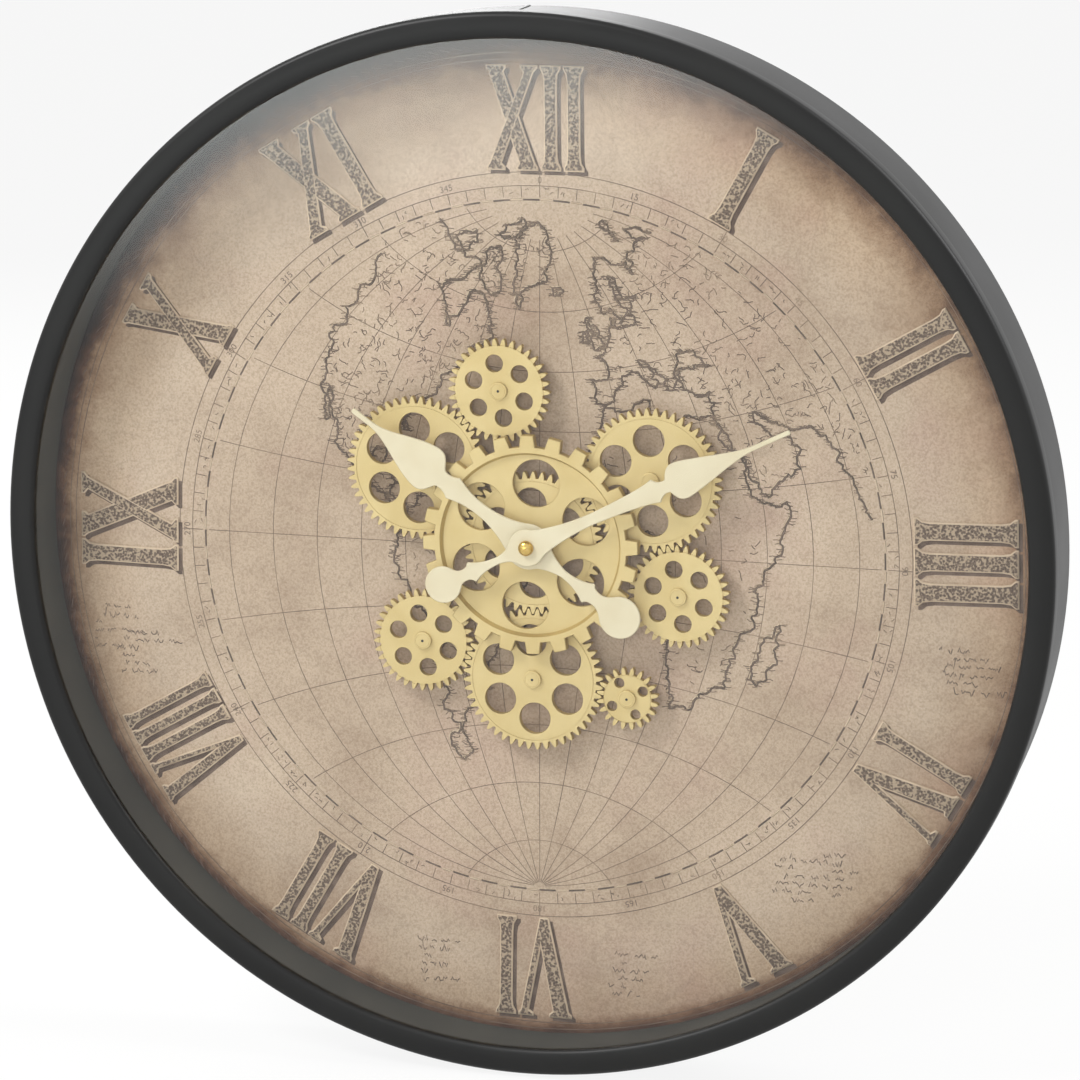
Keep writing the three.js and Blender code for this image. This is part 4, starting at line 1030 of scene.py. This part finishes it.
# Hands: half an outline from the tip to the tail, in (along, half width), mirrored across the hand. The plain
# numbers in handOutline are pulls on its curves, in mm or as shares of a width.
hands = {
    "hour_hand": {"angle": 144.7, "rear": 44.4, "reach": 125, "needle": 1.5, "taper": 103, "leaf": 13.4, "leafAt": 71,
                  "neck": 5.0, "neckAt": 59, "collar": 7.2, "collarAt": 53, "arm": 3.6, "armAt": 34, "hub": 13,
                  "stem": 2.2, "stemAt": 25, "tailCollar": 6.6, "tailCollarAt": 42, "tailNeck": 4, "tailNeckAt": 49.5,
                  "disc": 11.9, "discAt": 64.5, "bore": 2.8},
    "minute_hand": {"angle": 26.2, "rear": 48.0, "reach": 166.5, "needle": 1.3, "taper": 136, "leaf": 10.5,
                    "leafAt": 97, "neck": 3.6, "neckAt": 86.5, "collar": 6.9, "collarAt": 82, "arm": 3.2,
                    "armAt": 40, "hub": 10.5,
                    "stem": 2, "stemAt": 18, "tailCollar": 5.9, "tailCollarAt": 35, "tailNeck": 3.4, "tailNeckAt": 41.5,
                    "disc": 10.4, "discAt": 53.8, "bore": 1.8},
}
handCut = {"thickness": 1.0, "edge": 0.4, "steps": 10, "boreFlare": 0.15, "boreSides": 32}


# Carries a line on from its last point along a curve that two corners pull on.
def bend(line, first, second, end, steps):
    corners = (line[-1], first, second, end)
    for i in range(1, steps + 1):
        t = i / steps
        s = 1 - t
        pulls = (s ** 3, 3 * s * s * t, 3 * s * t * t, t ** 3)
        line.append(tuple(sum(pull * corner[axis] for pull, corner in zip(pulls, corners)) for axis in (0, 1)))


def handOutline(hand):
    h, n = SimpleNamespace(**hand), handCut["steps"]
    half = [(h.reach, 0)]
    bend(half, (h.reach, h.needle * 0.7), (h.reach - 0.5, h.needle), (h.reach - h.needle, h.needle), 4)
    half.append((h.taper + h.leaf * 0.6, h.needle))
    bend(half, (h.taper - 4, h.needle * 1.2), (h.leafAt + h.leaf * 1.2, h.leaf * 0.86), (h.leafAt + 2, h.leaf), n)
    bend(half, (h.leafAt - h.leaf * 0.35, h.leaf * 1.04), (h.leafAt - 5.5, h.leaf * 0.72),
         (h.neckAt + 3.5, h.neck * 1.08), n)
    bend(half, (h.neckAt + 1.5, h.neck * 0.8), (h.collarAt + 2.5, h.neck), (h.collarAt + 0.4, h.collar), 6)
    half.append((h.collarAt - 0.8, h.collar - 0.4))
    bend(half, (h.collarAt - 8, h.collar * 0.62), (h.armAt + 8, h.arm), (h.armAt, h.arm), n)
    hubX, hubY = around(h.hub, 52)
    bend(half, (h.armAt - 9, h.arm), (hubX + 7, hubY * 0.62), (hubX, hubY), n)
    half += ringLine(h.hub, 56, 140, 12)
    tailX, tailY = half[-1]
    bend(half, (tailX - 2.2, tailY - 2.8), (-h.stemAt + 5, h.stem + 0.6), (-h.stemAt, h.stem), 7)
    bend(half, (-h.tailCollarAt + 9, h.stem), (-h.tailCollarAt + 4, h.tailCollar * 0.6),
         (-h.tailCollarAt, h.tailCollar), 7)
    half.append((-h.tailCollarAt - 0.9, h.tailCollar - 0.5))
    bend(half, (-h.tailCollarAt - 1.6, h.tailNeck), (-h.tailNeckAt + 2, h.tailNeck * 0.9),
         (-h.tailNeckAt, h.tailNeck), 6)
    discX, discY = around(h.disc, 38)
    bend(half, (-h.tailNeckAt - 2.5, h.tailNeck * 1.15), (discX - h.discAt + 1.4, discY * 0.8),
         (discX - h.discAt, discY), 5)
    half += arcPoints((-h.discAt, 0), h.disc, 44, 180, 20)
    return half + [(x, -y) for x, y in reversed(half[1:-1])]


for name, hand in hands.items():
    front = hand["rear"] + handCut["thickness"]
    plate = cutPlate(name + "_stamped", handOutline(hand), hand["rear"], front, handCut["edge"])
    bore = makeDrill(hand["bore"], (0, 0), hand["rear"] - toolPast, front, handCut["boreFlare"], handCut["boreSides"])
    carve(plate, [bore])
    plate.data.transform(Matrix.Rotation(-math.radians(hand["angle"]), 4, "Y"))
    fitPiece(plate, name, ["cream"], [name], angle=25)

nut = {"radius": 4.3, "rear": 49.3, "front": 53, "rim": 0.9, "edge": 0.2, "seat": 1.8, "seatFront": 50.9,
       "domeSteps": 12, "steps": 48}
nutProfile = [(0, nut["seatFront"]), (nut["seat"], nut["seatFront"]), (nut["seat"], nut["rear"]),
              (nut["radius"] - nut["edge"], nut["rear"]), (nut["radius"], nut["rear"] + nut["edge"])]
for i in range(nut["domeSteps"] + 1):
    across, up = around(1, 90 * i / nut["domeSteps"])
    nutProfile.append((nut["radius"] * across if i < nut["domeSteps"] else 0,
                       nut["rear"] + nut["rim"] + (nut["front"] - nut["rear"] - nut["rim"]) * up))
capNut = turnPiece("cap_nut_domed", nutProfile, nut["steps"])
fitPiece(capNut, "minute_hand", ["brass"], ["cap_nut"], angle=50)
print("hands set")


# Dry cells: one turned along X and copied to both housings
cell = {"nub": 2.7, "nubLength": 1.0, "round": 0.9, "steps": 40, "endNormal": 0.9}
cellLow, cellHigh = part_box("movement_cell")
cellRadius, cellEnd = (cellHigh.z - cellLow.z) / 2 / mm, (cellHigh.x - cellLow.x) / mm
cellBody, cellRound = cellEnd - cell["nubLength"], cell["round"]
cellProfile = [(0, 0)]
cellProfile += arcPoints((cellRadius - cellRound, cellRound), cellRound, -90, 0, 3)
cellProfile += arcPoints((cellRadius - cellRound, cellBody - cellRound), cellRound, 0, 90, 3)
cellProfile += [(cell["nub"], cellBody), (cell["nub"], cellEnd), (0, cellEnd)]
firstCell = turnPiece("cell_turned", cellProfile, cell["steps"])
firstCell.data.transform(Matrix.Rotation(math.radians(90), 4, "Z"))


def cellEnds(face):
    return 1 if abs(face.normal.x) > cell["endNormal"] or face.center.x > cellBody * mm else 0


for name in ("movement_cell", "drive_cell"):
    cellLow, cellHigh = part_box(name)
    piece = copyPiece(firstCell, name + "_turned")
    fitPiece(piece, "case", ["cell", "zinc"], [name], choose=cellEnds)
    cellMiddle = (cellLow + cellHigh) / 2
    piece.data.transform(Matrix.Translation((cellLow.x, cellMiddle.y, cellMiddle.z)))
bpy.data.objects.remove(firstCell)


# CAD pieces that keep their shape get rounded edges and their own finish.
soften = {"movement_case": 0.7, "drive_case": 0.7, "setting_knob": 0.3, "drive_switch": 0.25, "hanger_plate": 0.3,
          "board_bracket_1": 0.3, "board_bracket_2": 0.3, "board_bracket_3": 0.3, "board_bracket_4": 0.3}
softening = {"merge": 0.01, "flat": 1, "sharp": 40, "segments": 2}
slotLooks = {"black_plastic": "abs", "zinc_steel": "zinc", "brass": "brass", "hardboard": "board",
             "cell_sleeve": "cell", "black_enamel": "enamel", "gold_paint": "gold", "cream_paint": "cream",
             "parchment_print": "paper",
             "dark_lining": "lining", "clear_glass": "glass"}
slots = {part["node"]: part["material_slot"] for part in frame["record"]["subparts"]}
for name, width in soften.items():
    piece = copyPiece(frame["nodes"][name], name + "_rounded")
    for key in list(piece.keys()):
        del piece[key]
    piece.parent = None
    startEdit()
    bpy.ops.mesh.remove_doubles(threshold=softening["merge"] * mm)
    bpy.ops.mesh.dissolve_limited(angle_limit=math.radians(softening["flat"]))
    bpy.ops.object.mode_set(mode="OBJECT")
    bevel = piece.modifiers.new("round", "BEVEL")
    bevel.width = width * mm
    bevel.segments = softening["segments"]
    bevel.limit_method = "ANGLE"
    bevel.angle_limit = math.radians(softening["sharp"])
    bpy.ops.object.modifier_apply(modifier="round")
    fitPiece(piece, frame["nodes"][name]["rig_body"], [slotLooks[slots[name]]], [name])
for name, node in frame["nodes"].items():
    node.data.materials.clear()
    node.data.materials.append(finishes[slotLooks[slots[name]]])
print("rear pieces finished")


# Stage: a pale floor, a pale world and soft lamps. Ground is the strength of the white that is seen behind the clock,
# and light is the strength of what the world sends onto the clock.
floor = {"name": "paperFloor", "roughness": 0.9, "color": "#f4f4f2", "size": 60, "drop": 302, "glow": 0.88}
studio = {"light": 0.33, "ground": 1.0, "color": "#ffffff"}


# The rays that show the white ground: straight to the camera, and by way of metal and glass
def groundRays(tree):
    rays = addNode(tree, "LightPath").outputs
    largest = {"operation": "MAXIMUM"}
    seen = addNode(tree, "Math", largest, {0: rays["Is Camera Ray"], 1: rays["Is Glossy Ray"]})
    return addNode(tree, "Math", largest, {0: seen, 1: rays["Is Transmission Ray"]})


bpy.ops.object.select_all(action="DESELECT")
bpy.ops.mesh.primitive_plane_add(size=floor["size"], location=(0, 0, -floor["drop"] * mm))
floorPlane = bpy.context.object
floorPlane.name = "studio_floor"
floorFinish, floorTree, floorShader, _ = newFinish(floor)
floorShader.inputs["Base Color"].default_value = linear(floor["color"])
floorPlane.data.materials.append(floorFinish)
floorShare = addNode(floorTree, "Math", {"operation": "MULTIPLY", 1: floor["glow"]}, {0: groundRays(floorTree)})
floorGlow = addNode(floorTree, "Emission", {"Color": linear(studio["color"]), "Strength": studio["ground"]})
floorMix = addNode(floorTree, "MixShader", {}, {0: floorShare, 1: floorShader, 2: floorGlow})
linkNode(floorTree.nodes["Material Output"], {"Surface": floorMix})

world = bpy.data.worlds.new("studio")
bpy.context.scene.world = world
world.use_nodes = True
background = world.node_tree.nodes["Background"]
background.inputs["Color"].default_value = linear(studio["color"])
worldRange = {"To Min": studio["light"], "To Max": studio["ground"]}
worldStrength = addNode(world.node_tree, "MapRange", worldRange, {"Value": groundRays(world.node_tree)})
linkNode(background, {"Strength": worldStrength})

# The fill lamp is kept out of mirrors, where it would glare on the glass.
lamps = {
    "key": {"place": (-1.25, -1.35, 1.65), "size": 0.8, "power": 36.5, "mirrored": True},
    "fill": {"place": (0.2, -2.8, 0.75), "size": 1.2, "power": 23, "mirrored": False},
    "side": {"place": (1.5, 0.1, 1.3), "size": 1.1, "power": 22.5, "mirrored": True},
    "rear": {"place": (-0.9, 2.0, 1.1), "size": 1.2, "power": 20, "mirrored": True},
}
for name, lamp in lamps.items():
    bpy.ops.object.light_add(type="AREA", location=lamp["place"])
    light = bpy.context.object
    light.name = name + "_lamp"
    light.data.shape = "DISK"
    light.data.size = lamp["size"]
    light.data.energy = lamp["power"]
    light.visible_glossy = lamp["mirrored"]
    light.rotation_euler = (-Vector(lamp["place"])).to_track_quat("-Z", "Y").to_euler()

# A pale card low on the left, seen only in the glass, where it lays a veil over the top of the dial. Sizes are in m;
# the card brightens along its lean, from left to right, and fades to nothing from an edge's inner to its outer end.
veil = {"name": "veilCard", "place": (-0.42, -1.5, -0.03), "wide": 1.3, "tall": 0.54, "lean": (-0.25, 0, 1),
        "dark": 0.02, "bright": 0.23, "strength": 7.4, "color": "#e6ecea", "leftEnd": -0.75, "rightEnd": -0.15,
        "leftShare": 0.75, "rightShare": 0.95,
        "edges": [("Z", 0.235, 0.12), ("X", 0.22, 0.05), ("X", -1.06, -0.88)]}
bpy.ops.object.select_all(action="DESELECT")
bpy.ops.mesh.primitive_plane_add(size=1)
card = bpy.context.object
card.name = "veil_card"
cardSize = Matrix.Diagonal((veil["wide"], veil["tall"], 1, 1))
card.data.transform(Matrix.Translation(veil["place"]) @ Matrix.Rotation(math.radians(90), 4, "X") @ cardSize)
card.visible_camera = card.visible_diffuse = card.visible_shadow = card.visible_transmission = False
cardFinish, cardTree, _, cardCoords = newFinish(veil)
spot = addNode(cardTree, "SeparateXYZ", {}, {"Vector": cardCoords}).outputs
leaning = {"operation": "DOT_PRODUCT", 1: veil["lean"]}
slant = addNode(cardTree, "VectorMath", leaning, {0: cardCoords}).outputs["Value"]
smooth = {"interpolation_type": "SMOOTHSTEP"}
fadeRange = {"From Min": veil["dark"], "From Max": veil["bright"], "To Max": veil["strength"]}
fade = addNode(cardTree, "MapRange", smooth | fadeRange, {"Value": slant})
sideRange = {"From Min": veil["leftEnd"], "From Max": veil["rightEnd"], "To Min": veil["leftShare"],
             "To Max": veil["rightShare"]}
sideShare = addNode(cardTree, "MapRange", sideRange, {"Value": spot["X"]})
cardLight = addNode(cardTree, "Math", {"operation": "MULTIPLY"}, {0: fade, 1: sideShare})
for axis, outer, inner in veil["edges"]:
    edge = addNode(cardTree, "MapRange", smooth | {"From Min": outer, "From Max": inner}, {"Value": spot[axis]})
    cardLight = addNode(cardTree, "Math", {"operation": "MULTIPLY"}, {0: cardLight, 1: edge})
cardGlow = addNode(cardTree, "Emission", {"Color": linear(veil["color"])}, {"Strength": cardLight})
cardSum = addNode(cardTree, "AddShader", {}, {0: addNode(cardTree, "BsdfTransparent"), 1: cardGlow})
linkNode(cardTree.nodes["Material Output"], {"Surface": cardSum})
card.data.materials.append(cardFinish)
print("stage lit")
